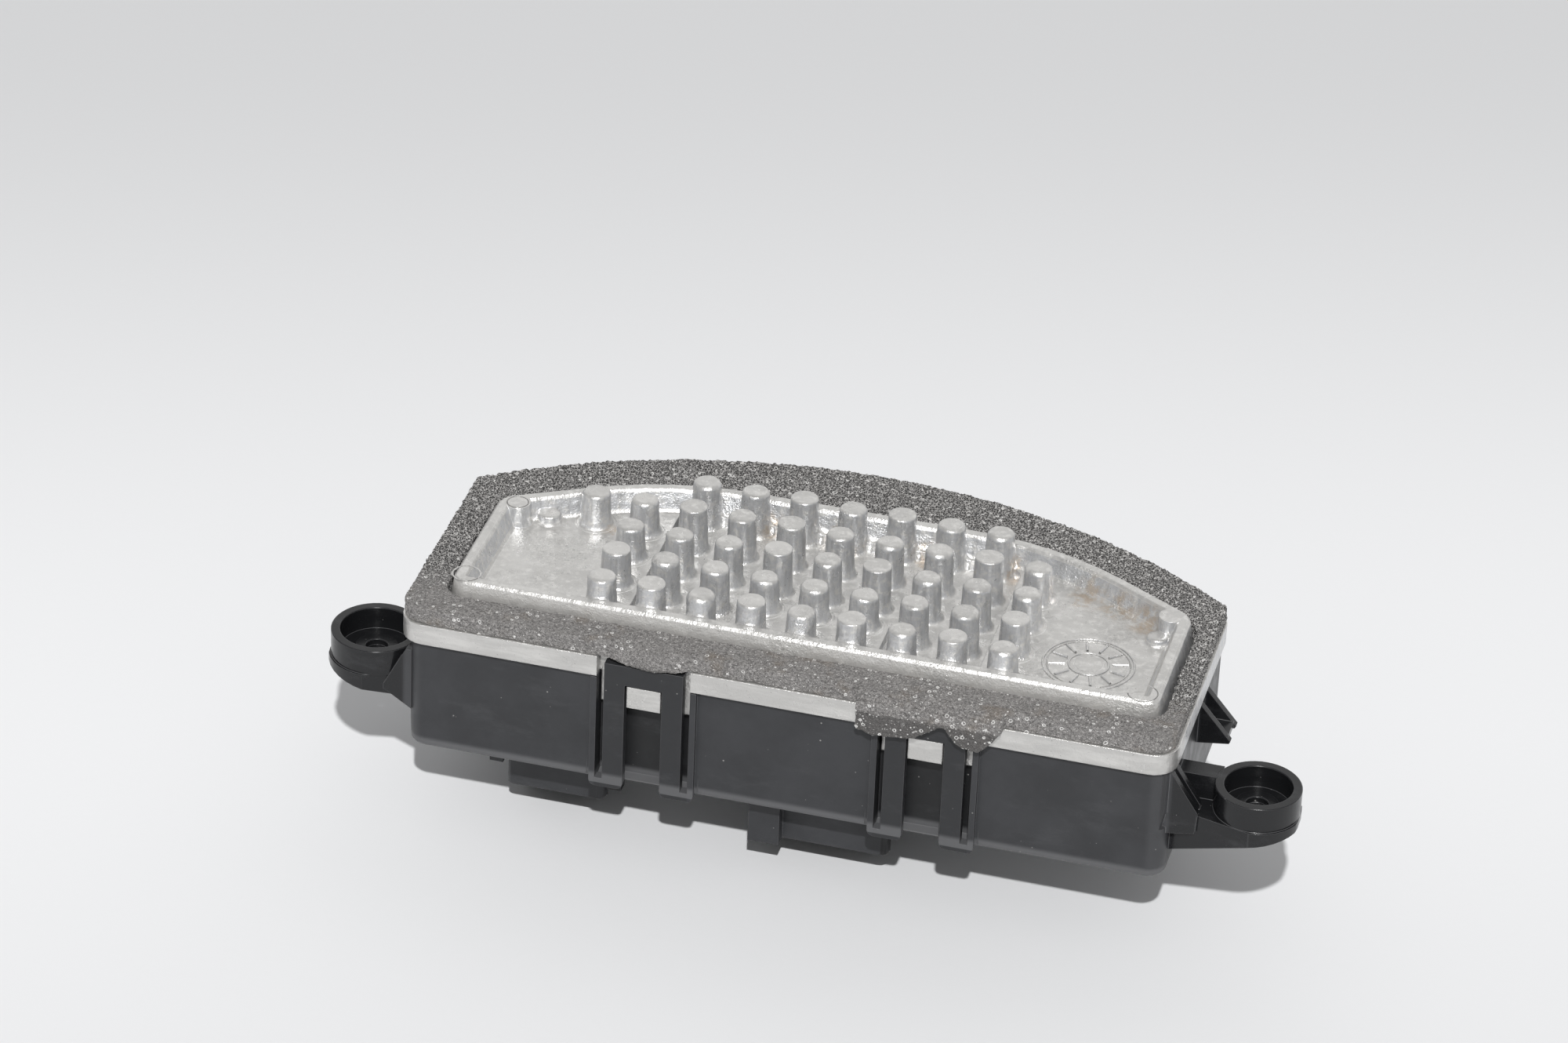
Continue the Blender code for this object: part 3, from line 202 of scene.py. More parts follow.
def place(x, y, z):
    """A point of the drawing frame, in the scene's metres."""
    return ORIGIN + Vector((x, y, z)) * MM


# Meshes


def new_piece(name, mesh, material):
    obj = bpy.data.objects.new(name, mesh)
    bpy.context.scene.collection.objects.link(obj)
    obj.data.materials.clear()
    obj.data.materials.append(material)
    return obj


def soften(work):
    """Shades a mesh smooth over its rounded corners and flat between its sharp edges."""
    for face in work.faces:
        face.smooth = True
    for edge in work.edges:
        edge.smooth = edge.calc_face_angle(math.pi) < SOFT_ANGLE


def copied_mesh(node):
    """A welded copy of a solid's mesh, as a bmesh."""
    work = bmesh.new()
    work.from_mesh(NODES[node].data)
    bmesh.ops.remove_doubles(work, verts=work.verts, dist=1e-6)
    soften(work)
    return work


def finished_copy(work, name, node, material):
    """Makes a piece of a bmesh and shows it in the place of a solid."""
    mesh = bpy.data.meshes.new(name)
    work.to_mesh(mesh)
    work.free()
    piece = new_piece(name, mesh, material)
    flat = piece.modifiers.new("flat faces stay flat", "WEIGHTED_NORMAL")
    flat.keep_sharp = True
    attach(piece, "root")
    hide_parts(node)
    return piece


def turned_rings(work, centre, profile, sides, wobble=None, capped=True):
    """Adds a turned shape to a bmesh: profile is (radius, height) pairs, with a cap on the last."""
    rings = []
    for index, (radius, height) in enumerate(profile):
        ring = []
        for i in range(sides):
            angle = math.tau * i / sides
            dx, dy, dz = wobble(index, angle) if wobble else (0.0, 0.0, 0.0)
            x = centre[0] + radius * math.cos(angle) + dx
            y = centre[1] + radius * math.sin(angle) + dy
            ring.append(work.verts.new(place(x, y, height + dz)))
        rings.append(ring)
    for low, high in zip(rings, rings[1:]):
        for i in range(sides):
            j = (i + 1) % sides
            work.faces.new((low[i], low[j], high[j], high[i])).smooth = True
    if capped:
        work.faces.new(rings[-1]).smooth = True


# Materials


class Finish:
    """A node material built step by step around one Principled shader."""

    def __init__(self, name):
        self.material = bpy.data.materials.new(name)
        self.material.use_nodes = True
        self.tree = self.material.node_tree
        self.shader = self.tree.nodes["Principled BSDF"]
        self.coordinates = self.node("ShaderNodeTexCoord").outputs["Object"]

    def node(self, kind, inputs=None, **settings):
        made = self.tree.nodes.new(kind)
        for key, value in settings.items():
            setattr(made, key, value)
        for key, value in (inputs or {}).items():
            self.feed(made.inputs[key], value)
        return made

    def feed(self, socket, value):
        if isinstance(value, bpy.types.NodeSocket):
            self.tree.links.new(value, socket)
        else:
            socket.default_value = value

    def set(self, **values):
        for key, value in values.items():
            self.feed(self.shader.inputs[key.replace("_", " ")], value)

    def noise(self, size, detail=3.0, roughness=0.55, stretch=(1.0, 1.0, 1.0)):
        """Noise from 0 to 1 whose grain is about size millimetres wide."""
        where = self.coordinates
        if stretch != (1.0, 1.0, 1.0):
            where = self.node("ShaderNodeMapping", {"Vector": where, "Scale": stretch}).outputs[0]
        inputs = {"Vector": where, "Scale": 1.0 / (size * MM), "Detail": detail, "Roughness": roughness}
        return self.node("ShaderNodeTexNoise", inputs).outputs[0]

    def cells(self, size, output="Distance", feature="F1"):
        """Cells about size millimetres wide: the distance to a cell's middle, its colour or its edge."""
        inputs = {"Vector": self.coordinates, "Scale": 1.0 / (size * MM)}
        return self.node("ShaderNodeTexVoronoi", inputs, feature=feature).outputs[output]

    def cell_chance(self, size, channel):
        """A chance from 0 to 1 that is even over each cell."""
        return self.node("ShaderNodeSeparateColor", {0: self.cells(size, "Color")}).outputs[channel]

    def math(self, operation, a, b=0.0):
        return self.node("ShaderNodeMath", {0: a, 1: b}, operation=operation).outputs[0]

    def times(self, a, b):
        return self.math("MULTIPLY", a, b)

    def plus(self, a, b):
        return self.math("ADD", a, b)

    def less(self, a, b):
        return self.math("SUBTRACT", a, b)

    def larger(self, a, b):
        return self.math("MAXIMUM", a, b)

    def absolute(self, value):
        return self.math("ABSOLUTE", value)

    def remap(self, value, low, high, to_low=0.0, to_high=1.0):
        """0 at low and 1 at high, with an easy turn at both, or from to_low to to_high."""
        inputs = {"Value": value, "From Min": low, "From Max": high, "To Min": to_low, "To Max": to_high}
        return self.node("ShaderNodeMapRange", inputs, interpolation_type="SMOOTHSTEP").outputs[0]

    def mix(self, factor, a, b):
        """Colour a where factor is 0 and colour b where it is 1."""
        made = self.node("ShaderNodeMix", data_type="RGBA")
        for socket, value in ((0, factor), (6, a), (7, b)):
            self.feed(made.inputs[socket], value)
        return made.outputs[2]

    def axis(self, name):
        return self.node("ShaderNodeSeparateXYZ", {0: self.coordinates}).outputs[name]

    def drawn(self, name):
        """One coordinate of the drawing frame, in millimetres."""
        return self.times(self.less(self.axis(name), getattr(ORIGIN, name.lower())), 1 / MM)

    def facing(self, name):
        """One part of the direction that a face looks in."""
        normal = self.node("ShaderNodeNewGeometry").outputs["True Normal"]
        return self.node("ShaderNodeSeparateXYZ", {0: normal}).outputs[name]

    def any_near(self, spots):
        """1 at each (x, y, z, radius) spot of the drawing frame, falling to 0 at its radius."""
        nearest = 0.0
        for x, y, z, radius in spots:
            inputs = {0: self.coordinates, 1: tuple(place(x, y, z))}
            away = self.node("ShaderNodeVectorMath", inputs, operation="DISTANCE").outputs["Value"]
            nearest = self.larger(self.remap(away, radius * MM, radius * MM * 0.35), nearest)
        return nearest

    def eased(self, radius):
        """The surface's normal with its edges rounded by radius millimetres."""
        return self.node("ShaderNodeBevel", {"Radius": radius * MM}, samples=6).outputs[0]

    def edges(self, radius):
        """1 along sharp edges, 0 on flat faces."""
        flat = self.node("ShaderNodeNewGeometry").outputs["True Normal"]
        inputs = {0: self.eased(radius), 1: flat}
        along = self.node("ShaderNodeVectorMath", inputs, operation="DOT_PRODUCT").outputs["Value"]
        return self.remap(along, 0.985, 0.9)

    def bump(self, height, depth, normal=None):
        inputs = {"Height": height, "Distance": depth * MM}
        if normal is not None:
            inputs["Normal"] = normal
        return self.node("ShaderNodeBump", inputs).outputs[0]


def colour(value, share=1.0):
    """A colour of the settings, made darker or lighter by share."""
    return tuple(min(1.0, part * share) for part in value) + (1.0,)


def cast_aluminium(look):
    """Die-cast aluminium: blotchy and fine grained, with streaks down its walls, rough patches with painted
    glints, edges brighter partly from wear and partly as a painted highlight, and a few brown stains;
    painted shade darkens and blues the upright walls inside and darkens the outer front walls, and painted
    light brightens the rim's outer wall."""
    f = Finish("cast aluminium")
    metal = look.aluminium
    wall = f.remap(f.absolute(f.facing("Z")), 0.75, 0.35)
    inside = f.remap(f.drawn("Y"), 7.5, 8.5)
    inner_wall = f.times(wall, inside)
    front_wall = f.less(wall, inner_wall)
    clouds = f.remap(f.noise(6.0, 4.0, 0.6, (0.5, 1.0, 1.0)), 0.33, 0.67)
    tone = f.mix(clouds, colour(metal, 0.88), colour(metal, 1.04))
    # Painted shade: the upright walls inside the rim are darker and bluer
    tone = f.mix(f.times(inner_wall, 0.8), tone, colour(look.pin_wall_shade))
    tone = f.mix(f.remap(f.noise(1.1, 3.0, 0.6), 0.46, 0.72), tone, colour(metal, 1.16))
    streaks = f.remap(f.noise(0.55, 3.0, 0.6, (1.0, 1.0, 0.14)), 0.42, 0.72)
    tone = f.mix(f.times(f.times(streaks, inner_wall), 0.35), tone, colour(metal, 0.50))
    # Painted shade on the outer front walls, and painted light on the rim's outer wall above the plate
    tone = f.mix(front_wall, tone, colour(metal, 0.82))
    above_plate = f.remap(f.drawn("Z"), 3.6, 4.2)
    tone = f.mix(f.times(front_wall, above_plate), tone, colour(metal, 1.25))
    smears = f.remap(f.noise(1.6, 4.0, 0.6, (0.16, 1.0, 1.0)), 0.40, 0.70)
    tone = f.mix(f.times(f.times(smears, front_wall), 0.6), tone, colour(metal, 1.12))
    pits = f.remap(f.noise(0.42, 2.0, 0.7), 0.33, 0.25)
    tone = f.mix(f.times(pits, 0.6), tone, colour(metal, 0.30))

    rough_patch = f.larger(f.remap(f.noise(10.0, 3.0), 0.55, 0.68), f.any_near(ROUGH_SPOTS))
    # Painted glints: bright specks in the rough patches
    sparkle = f.times(f.remap(f.noise(0.32, 2.0, 0.5), 0.60, 0.72), rough_patch)
    tone = f.mix(f.times(sparkle, 0.8), tone, GLINT_AND_WEAR_METAL)
    grit = f.times(f.remap(f.noise(0.5, 3.0, 0.7), 0.44, 0.33), rough_patch)
    tone = f.mix(f.times(grit, 0.5), tone, colour(metal, 0.45))
    stain = f.times(f.any_near(STAIN_SPOTS), f.remap(f.noise(2.0, 4.0, 0.65), 0.42, 0.62))
    tone = f.mix(f.times(stain, 0.5), tone, colour(look.stain))
    # Brighter edges, partly wear and partly a painted highlight
    wear_and_highlight = f.remap(f.noise(1.5, 3.0), 0.35, 0.55, 0.25, 1.0)
    tone = f.mix(f.times(f.edges(0.13), wear_and_highlight), tone, GLINT_AND_WEAR_METAL)

    grain = f.plus(f.noise(0.30, 2.0, 0.6), f.times(f.noise(1.3, 3.0), 2.2))
    grain = f.plus(grain, f.times(f.times(f.noise(0.6, 3.0, 0.7), rough_patch), 2.5))
    f.set(
        Base_Color=tone, Metallic=look.metallic, Roughness=f.remap(f.noise(1.8, 3.0), 0.3, 0.7, 0.27, 0.42),
        Normal=f.bump(grain, 0.055, f.eased(0.28)),
    )
    return f.material


def black_plastic(look):
    """Near-black moulding: fine grain, pale thin edges that are partly wear and partly a painted highlight,
    and dust; painted shade in the latch bays and on the screw ears, which are also glossier; darker on
    the latch legs; and a painted reflection of the floor along the lower edge, fainter at the front
    corners."""
    f = Finish("black plastic")
    across, back, level = f.drawn("X"), f.drawn("Y"), f.drawn("Z")
    ear = f.remap(f.absolute(across), 60.6, 61.6)
    from_latch = f.absolute(f.less(f.absolute(f.less(across, LATCH_SHIFT)), LATCH_REACH))
    latch = f.remap(from_latch, BAY_HALF + 0.2, BAY_HALF - 0.1)
    bay = f.times(latch, f.times(f.remap(back, 1.9, 2.3), f.remap(back, 16.0, 14.0)))
    leg = f.times(latch, f.remap(back, 1.5, 1.0))
    clouds = f.remap(f.noise(9.0, 4.0), 0.3, 0.7)
    tone = f.mix(clouds, colour(look.plastic, 0.88), colour(look.plastic, 1.18))
    tone = f.mix(leg, tone, colour(look.plastic, 0.72))
    # Painted shade in the latch bays and on the screw ears
    tone = f.mix(f.larger(bay, ear), tone, colour(look.plastic, 0.34))
    # Pale edge lines, partly wear and partly a painted highlight
    tone = f.mix(f.times(f.edges(0.16), 0.55), tone, PLASTIC_EDGE)
    for size, low, bright in ((1.9, 0.84, 0.5), (0.9, 0.92, 0.4)):
        keep = f.remap(f.cell_chance(size, 0), low, low + 0.03)
        specks = f.times(f.remap(f.cells(size), 0.10, 0.03), keep)
        tone = f.mix(f.times(specks, bright), tone, PLASTIC_DUST)

    # Painted reflection of the floor: a paler band along the lower rounded edge, fainter at the front
    # corners
    corner = f.times(f.remap(f.absolute(across), 57.6, 59.0), f.remap(back, 4.2, 2.8))
    foot = f.remap(level, HOUSING_BOTTOM + 2.2, HOUSING_BOTTOM + 1.2)
    above_bottom = f.remap(level, HOUSING_BOTTOM - 0.1, HOUSING_BOTTOM + 0.02)
    painted_sheen = f.times(f.larger(foot, f.times(corner, 0.2)), above_bottom)
    tone = f.mix(f.times(painted_sheen, f.less(0.7, ear)), tone, PLASTIC_PAINTED_SHEEN)
    smears = f.remap(f.noise(5.0, 5.0, 0.7, (0.4, 1.0, 1.0)), 0.52, 0.75)
    tone = f.mix(f.times(smears, 0.25), tone, PLASTIC_SMEAR)

    rough = f.less(f.remap(f.noise(3.0, 4.0), 0.3, 0.7, 0.42, 0.54), f.times(ear, 0.26))
    grain = f.plus(f.noise(0.25, 2.0), f.times(f.noise(12.0, 2.0), 4.0))
    f.set(
        Base_Color=tone, Roughness=rough, Specular_IOR_Level=0.42,
        Normal=f.bump(grain, 0.012, f.eased(0.22)),
    )
    return f.material


def open_cell_foam(look):
    """Open-cell foam: pale struts in painted light between cells darkened by painted shade, with painted
    glints as small bright rings and dots; greyer with dust, brown patches and painted shade in the pores
    in front; and painted shade on the hanging flap."""
    f = Finish("open-cell foam")
    dust = look.foam_dust
    front = f.remap(f.drawn("Y"), 14.0, 4.0)
    web = f.cells(look.foam_cell, feature="DISTANCE_TO_EDGE")
    # Painted light and shade: struts lit by noise, the cells between them dark
    lit = f.remap(f.noise(0.45, 2.0, 0.6), 0.34, 0.62, 0.10, 1.0)
    lit_struts = f.times(f.remap(web, 0.22, 0.05), lit)
    clean = f.mix(lit_struts, colour(look.foam_dark, 0.22), colour(look.foam_dark, 3.0))

    grain = f.remap(f.noise(0.40, 3.0, 0.7), 0.34, 0.68)
    dusty = f.mix(grain, colour(dust, 0.48), colour(dust, 1.18))
    dusty = f.mix(f.times(lit_struts, 0.45), dusty, colour(dust, 2.0))
    # Painted shade in the pores of the dusty foam
    shaded_pores = f.remap(f.noise(0.55, 2.0, 0.5), 0.42, 0.34)
    dusty = f.mix(f.times(shaded_pores, 0.6), dusty, colour(dust, 0.35))
    patches = f.remap(f.noise(6.0, 4.0, 0.6), 0.52, 0.70)
    dusty = f.mix(f.times(patches, 0.55), dusty, FOAM_PATCH)

    tone = f.mix(front, clean, dusty)
    # Painted shade on the flap hanging below the seat
    painted_flap_shade = f.remap(f.drawn("Z"), 3.6, 2.8)
    tone = f.mix(f.times(painted_flap_shade, 0.8), tone, colour(dust, 0.34))
    # Painted glints: small bright rings and dots
    for size, low, radius, width in PAINTED_FOAM_GLINTS:
        ring = f.remap(f.absolute(f.less(f.cells(size), radius)), width, width * 0.3)
        painted_glint = f.times(ring, f.remap(f.cell_chance(size, 1), low, low + 0.10))
        tone = f.mix(f.times(painted_glint, 0.85), tone, PAINTED_GLINT_WHITE)
    relief = f.plus(lit_struts, f.times(f.noise(0.5, 3.0, 0.7), 0.7))
    f.set(Base_Color=tone, Roughness=0.85, Specular_IOR_Level=0.3, Normal=f.bump(relief, 0.16))
    return f.material


def plain_metal(name, tint, rough):
    """Bare metal with a fine brushed grain and brighter edges."""
    f = Finish(name)
    tone = f.mix(f.noise(2.0, 4.0), colour(tint, 0.82), colour(tint))
    tone = f.mix(f.times(f.edges(0.12), 0.5), tone, colour(tint, 1.25))
    brushed = f.noise(0.5, 3.0, 0.6, (1.0, 6.0, 6.0))
    f.set(
        Base_Color=tone, Metallic=1.0, Roughness=f.remap(brushed, 0.3, 0.7, rough - 0.06, rough + 0.08),
        Normal=f.bump(brushed, 0.01, f.eased(0.12)),
    )
    return f.material


def plain_moulding(name, tint, rough, size=1.0, depth=0.02):
    """A moulded or pressed finish with a soft grain about size millimetres wide."""
    f = Finish(name)
    clouds = f.remap(f.noise(size * 4, 4.0), 0.3, 0.7)
    tone = f.mix(clouds, colour(tint, 0.75), colour(tint))
    tone = f.mix(f.times(f.edges(0.12), 0.35), tone, colour(tint, 1.6))
    grain = f.noise(size, 3.0)
    f.set(
        Base_Color=tone, Roughness=f.remap(grain, 0.3, 0.7, rough - 0.06, rough + 0.08),
        Normal=f.bump(f.noise(size * 0.3, 2.0), depth, f.eased(0.12)),
    )
    return f.material


def board_laminate(name):
    """Circuit board: green resist over glass cloth, with copper tracks under it."""
    f = Finish(name)
    cloth = {
        "Vector": f.coordinates, "Scale": 380.0, "Mortar Size": 0.03, "Mortar": (0.02, 0.15, 0.06, 1.0),
        "Color1": (0.012, 0.085, 0.03, 1.0), "Color2": (0.015, 0.10, 0.04, 1.0),
    }
    weave = f.node("ShaderNodeTexBrick", cloth).outputs[0]
    tracks = f.remap(f.cells(6.0, feature="DISTANCE_TO_EDGE"), 0.06, 0.04)
    tone = f.mix(f.times(tracks, 0.7), weave, (0.03, 0.22, 0.08, 1.0))
    rough = f.remap(f.noise(3.0), 0.3, 0.7, 0.30, 0.42)
    f.set(Base_Color=tone, Roughness=rough, Normal=f.bump(tracks, 0.03))
    return f.material


def dress(node, material):
    obj = NODES[node]
    obj.data.materials.clear()
    obj.data.materials.append(material)


# Settings


class ResistorFinish(bpy.types.PropertyGroup):
    aluminium: bpy.props.FloatVectorProperty(
        name="Aluminium", description="Colour of the casting",
        subtype="COLOR", default=(0.68, 0.67, 0.65), min=0, max=1)
    # Painted shade: the darker, bluer tone given to the upright walls inside the rim
    pin_wall_shade: bpy.props.FloatVectorProperty(
        name="Pin walls", description="Colour of the casting's upright walls",
        subtype="COLOR", default=(0.63, 0.64, 0.66), min=0, max=1)
    metallic: bpy.props.FloatProperty(
        name="Metallic", description="How much of the casting's look is bare metal",
        subtype="FACTOR", default=0.68, min=0, max=1)
    plastic: bpy.props.FloatVectorProperty(
        name="Plastic", description="Colour of the housing",
        subtype="COLOR", default=(0.031, 0.032, 0.035), min=0, max=1)
    stain: bpy.props.FloatVectorProperty(
        name="Stain", description="Colour of the casting's stains",
        subtype="COLOR", default=(0.50, 0.36, 0.22), min=0, max=1)
    foam_dust: bpy.props.FloatVectorProperty(
        name="Foam in front", description="Colour of the dusty foam",
        subtype="COLOR", default=(0.265, 0.255, 0.248), min=0, max=1)
    foam_dark: bpy.props.FloatVectorProperty(
        name="Foam behind", description="Colour of the clean foam",
        subtype="COLOR", default=(0.20, 0.195, 0.19), min=0, max=1)
    foam_cell: bpy.props.FloatProperty(
        name="Foam cell", description="Width of one cell of the foam, in millimetres",
        default=0.40, min=0.2, max=3.0)
    foam_grid: bpy.props.FloatProperty(
        name="Foam grid", description="Width of one face of the foam's mesh, in millimetres",
        default=0.27, min=0.2, max=3.0)


class ResistorStage(bpy.types.PropertyGroup):
    floor: bpy.props.FloatVectorProperty(
        name="Floor", description="Colour of the floor",
        subtype="COLOR", default=(0.80, 0.805, 0.815), min=0, max=1)
    lamp_power: bpy.props.FloatProperty(
        name="Lamp power", description="Power of the lamp above the camera",
        subtype="POWER", unit="POWER", default=57.0, min=0)
    lamp_size: bpy.props.FloatProperty(
        name="Lamp size", description="Width of the lamp",
        subtype="DISTANCE", unit="LENGTH", default=0.07, min=0.001)
    lamp_distance: bpy.props.FloatProperty(
        name="Lamp distance", description="From the part to the lamp",
        subtype="DISTANCE", unit="LENGTH", default=2.6, min=0.5)
    lamp_height: bpy.props.FloatProperty(
        name="Lamp height", description="Angle of the lamp over the floor",
        subtype="ANGLE", unit="ROTATION", default=math.radians(47.0), min=0.1, max=1.5)
    ambient: bpy.props.FloatProperty(
        name="Ambient", description="Strength of the light from all round", default=0.30, min=0)
    backdrop: bpy.props.FloatProperty(
        name="Backdrop", description="Strength of the pale backdrop behind", default=0.78, min=0)


# Pieces


def direction(azimuth, elevation):
    """The way to a point in front of the part, round to the right and up over the floor."""
    flat = math.cos(elevation)
    return Vector((math.sin(azimuth) * flat, -math.cos(azimuth) * flat, math.sin(elevation)))


class RESISTOR_OT_stage(bpy.types.Operator):
    """Sets the camera, the lamp over it, the light from all round and the pale floor"""

    bl_idname = "resistor.stage"
    bl_label = "Stage"

    def execute(self, context):
        look = context.scene.resistor_stage
        self.place_camera(context)
        self.hang_lamp(context, look)
        self.light_room(context, look)
        self.lay_floor(look)
        context.scene.view_settings.view_transform = "Standard"
        return {"FINISHED"}

    def place_camera(self, context):
        back = direction(CAMERA_AZIMUTH, CAMERA_ELEVATION)
        level = Vector((math.cos(CAMERA_AZIMUTH), math.sin(CAMERA_AZIMUTH), 0.0))
        rise = back.cross(level)
        right = math.cos(CAMERA_ROLL) * level + math.sin(CAMERA_ROLL) * rise
        up = math.cos(CAMERA_ROLL) * rise - math.sin(CAMERA_ROLL) * level
        data = bpy.data.cameras.new("camera")
        data.sensor_width = CAMERA_SENSOR
        data.lens = CAMERA_LENS
        data.clip_start = 0.01
        camera = bpy.data.objects.new("camera", data)
        context.scene.collection.objects.link(camera)
        turn = Matrix((right, up, back)).transposed().to_4x4()
        turn.translation = CAMERA_PLACE
        camera.matrix_world = turn
        context.scene.camera = camera

    def hang_lamp(self, context, look):
        data = bpy.data.lights.new("lamp", "AREA")
        data.shape = "DISK"
        data.size = look.lamp_size
        data.energy = look.lamp_power
        lamp = bpy.data.objects.new("lamp", data)
        context.scene.collection.objects.link(lamp)
        toward = direction(CAMERA_AZIMUTH, look.lamp_height)
        lamp.location = toward * look.lamp_distance
        lamp.rotation_euler = (-toward).to_track_quat("-Z", "Y").to_euler()

    def light_room(self, context, look):
        """Even light from all round, brighter behind the part."""
        world = bpy.data.worlds.new("room")
        context.scene.world = world
        world.use_nodes = True
        tree = world.node_tree
        split = tree.nodes.new("ShaderNodeSeparateXYZ")
        tree.links.new(tree.nodes.new("ShaderNodeTexCoord").outputs["Generated"], split.inputs[0])
        spread = tree.nodes.new("ShaderNodeMapRange")
        spread.interpolation_type = "SMOOTHSTEP"
        levels = {"From Min": 0.15, "From Max": 0.75, "To Min": look.ambient, "To Max": look.backdrop}
        for name, value in levels.items():
            spread.inputs[name].default_value = value
        tree.links.new(split.outputs["Y"], spread.inputs[0])
        tree.links.new(spread.outputs[0], tree.nodes["Background"].inputs[0])

    def lay_floor(self, look):
        """A pale, matt floor with painted light: lighter round the part than in front, and darker far
        behind.
        """
        f = Finish("floor")
        tone = f.mix(f.noise(60.0, 3.0), colour(look.floor), colour(look.floor, 0.985))
        away = f.less(f.axis("Y"), f.times(f.axis("X"), 0.35))
        # Painted light on the floor: lighter round the part, darker far behind
        tone = f.mix(f.remap(away, -0.10, 0.03), tone, colour(look.floor, 1.08))
        tone = f.mix(f.remap(away, 0.05, 0.28), tone, colour(look.floor, 0.90))
        relief = f.bump(f.noise(1.4, 3.0), 0.02)
        f.set(Base_Color=tone, Roughness=0.75, Specular_IOR_Level=0.25, Normal=relief)
        work = bmesh.new()
        bmesh.ops.create_grid(work, x_segments=12, y_segments=12, size=2.5)
        mesh = bpy.data.meshes.new("floor")
        work.to_mesh(mesh)
        work.free()
        floor = new_piece("floor", mesh, f.material)


def pin_centres():
    """Column, row and centre of each pin, as the part's source places them."""
    half = DISH_HALF_WIDTH - PIN_RADIUS
    straight = DISH_HALF_WIDTH - SHOULDER_RUN
    for row, (first, last) in enumerate(PIN_ROWS):
        y = PIN_FIRST_Y + row * PIN_PITCH
        for column in range(first, last + 1):
            x = PIN_FIRST_X + column * PIN_PITCH
            out = abs(x - DISH_SHIFT)
            shoulder = max(0.0, out - straight) * math.tan(SHOULDER_ANGLE)
            if out < half and y + PIN_RADIUS < DISH_REAR - shoulder:
                yield column, row, x, y


def floor_level(x, y):
    """Height where a pin's foot ends: a deep pit under most pins, a raised pad and the front rim."""
    pit = PIT_LEFT < x < PIT_RIGHT and PIT_FRONT < y < PIT_REAR
    pad = PAD_LEFT < x < PAD_RIGHT and y < PAD_REAR
    if pit and not pad:
        return PIT_FLOOR
    rim = min(1.0, max(0.0, (10.0 - y) / 1.5))
    return POCKET_FLOOR + (RIM_TOP - 0.3 - POCKET_FLOOR) * rim * rim * (3 - 2 * rim)


def cast_pin(work, column, row, x, y):
    """One pin with a foot fillet and either a crisp or a worn, rounded top."""
    chance = random.Random(column * 31 + row * 7)
    crisp = (column, row) in CRISP_PINS
    ease = chance.uniform(0.22, 0.34) if crisp else chance.uniform(0.65, 1.0)
    top = PIN_TOP - (0.0 if crisp else chance.uniform(0.05, 0.35))
    foot = PIN_RADIUS + PIN_DRAFT
    skirt = foot + PIN_FLARE
    profile = [(skirt + 0.1, PIT_FLOOR - 0.05)]
    for i in range(FOOT_STEPS + 1):
        turn = math.pi / 2 * i / FOOT_STEPS
        rise = PIN_FLARE_RISE * (1 - math.cos(turn))
        profile.append((foot + PIN_FLARE * (1 - math.sin(turn)), PIT_FLOOR + rise))
    shaft_start = len(profile)
    shaft_top = top - ease
    shaft = shaft_top - PIT_FLOOR - PIN_FLARE_RISE
    for i in range(1, SHAFT_STEPS + 1):
        share = i / SHAFT_STEPS
        profile.append((foot - PIN_DRAFT * share, PIT_FLOOR + PIN_FLARE_RISE + shaft * share))
    top_start = len(profile)
    for i in range(1, TOP_STEPS + 1):
        turn = math.pi / 2 * i / TOP_STEPS
        profile.append((PIN_RADIUS - ease * (1 - math.cos(turn)), shaft_top + ease * math.sin(turn)))
    dome = 0.0 if crisp else 0.06
    for share in (0.66, 0.33):
        profile.append(((PIN_RADIUS - ease) * share, top + dome * (1 - share)))
    lean = (chance.uniform(-0.04, 0.04), chance.uniform(-0.04, 0.04))
    seed = Vector((column * 3.7, row * 5.1, 0.0))
    wave, wear = (0.05, 0.05) if crisp else (0.09, 0.16)

    def wobble(index, angle):
        """Lifts the foot to the floor under it, and makes the shaft and top a little uneven."""
        if index == 0:
            return 0.0, 0.0, 0.0
        lift = floor_level(x + skirt * math.cos(angle), y + skirt * math.sin(angle)) - PIT_FLOOR
        lift *= min(1.0, max(0.0, (top_start - 1 - index) / SHAFT_STEPS))
        if index < shaft_start:
            return 0.0, 0.0, lift
        around = Vector((math.cos(angle), math.sin(angle), index * 0.35)) + seed
        push = noise.noise(around * 1.1) * wave
        drop = 0.0
        if index >= top_start:
            drop = -abs(noise.noise(around * 0.9 + Vector((9.0, 0.0, 0.0)))) * wear
        share = (index - shaft_start + 1) / (len(profile) - shaft_start)
        dx = math.cos(angle) * push + lean[0] * share
        dy = math.sin(angle) * push + lean[1] * share
        return dx, dy, drop + lift

    turned_rings(work, (x, y), profile, PIN_SIDES, wobble)


def ridge(work, points, width, height, base, closed=False):
    """A low rounded ridge along a line of (x, y) points, on a floor at height base."""
    count = len(points)
    rows = []
    for i, (x, y) in enumerate(points):
        before = points[i - 1] if closed or i else points[i]
        after = points[(i + 1) % count] if closed or i < count - 1 else points[i]
        run = Vector((after[0] - before[0], after[1] - before[1])).normalized()
        across = ((-0.5, -0.05), (-0.25, 0.8), (0.0, 1.0), (0.25, 0.8), (0.5, -0.05))
        rows.append([
            work.verts.new(place(x - run.y * width * side, y + run.x * width * side, base + height * rise))
            for side, rise in across])
    pairs = list(zip(rows, rows[1:]))
    if closed:
        pairs.append((rows[-1], rows[0]))
    for one, two in pairs:
        for i in range(4):
            work.faces.new((one[i], one[i + 1], two[i + 1], two[i])).smooth = True


def circle_points(x, y, radius, steps=64):
    turns = [math.tau * i / steps for i in range(steps)]
    return [(x + radius * math.cos(turn), y + radius * math.sin(turn)) for turn in turns]


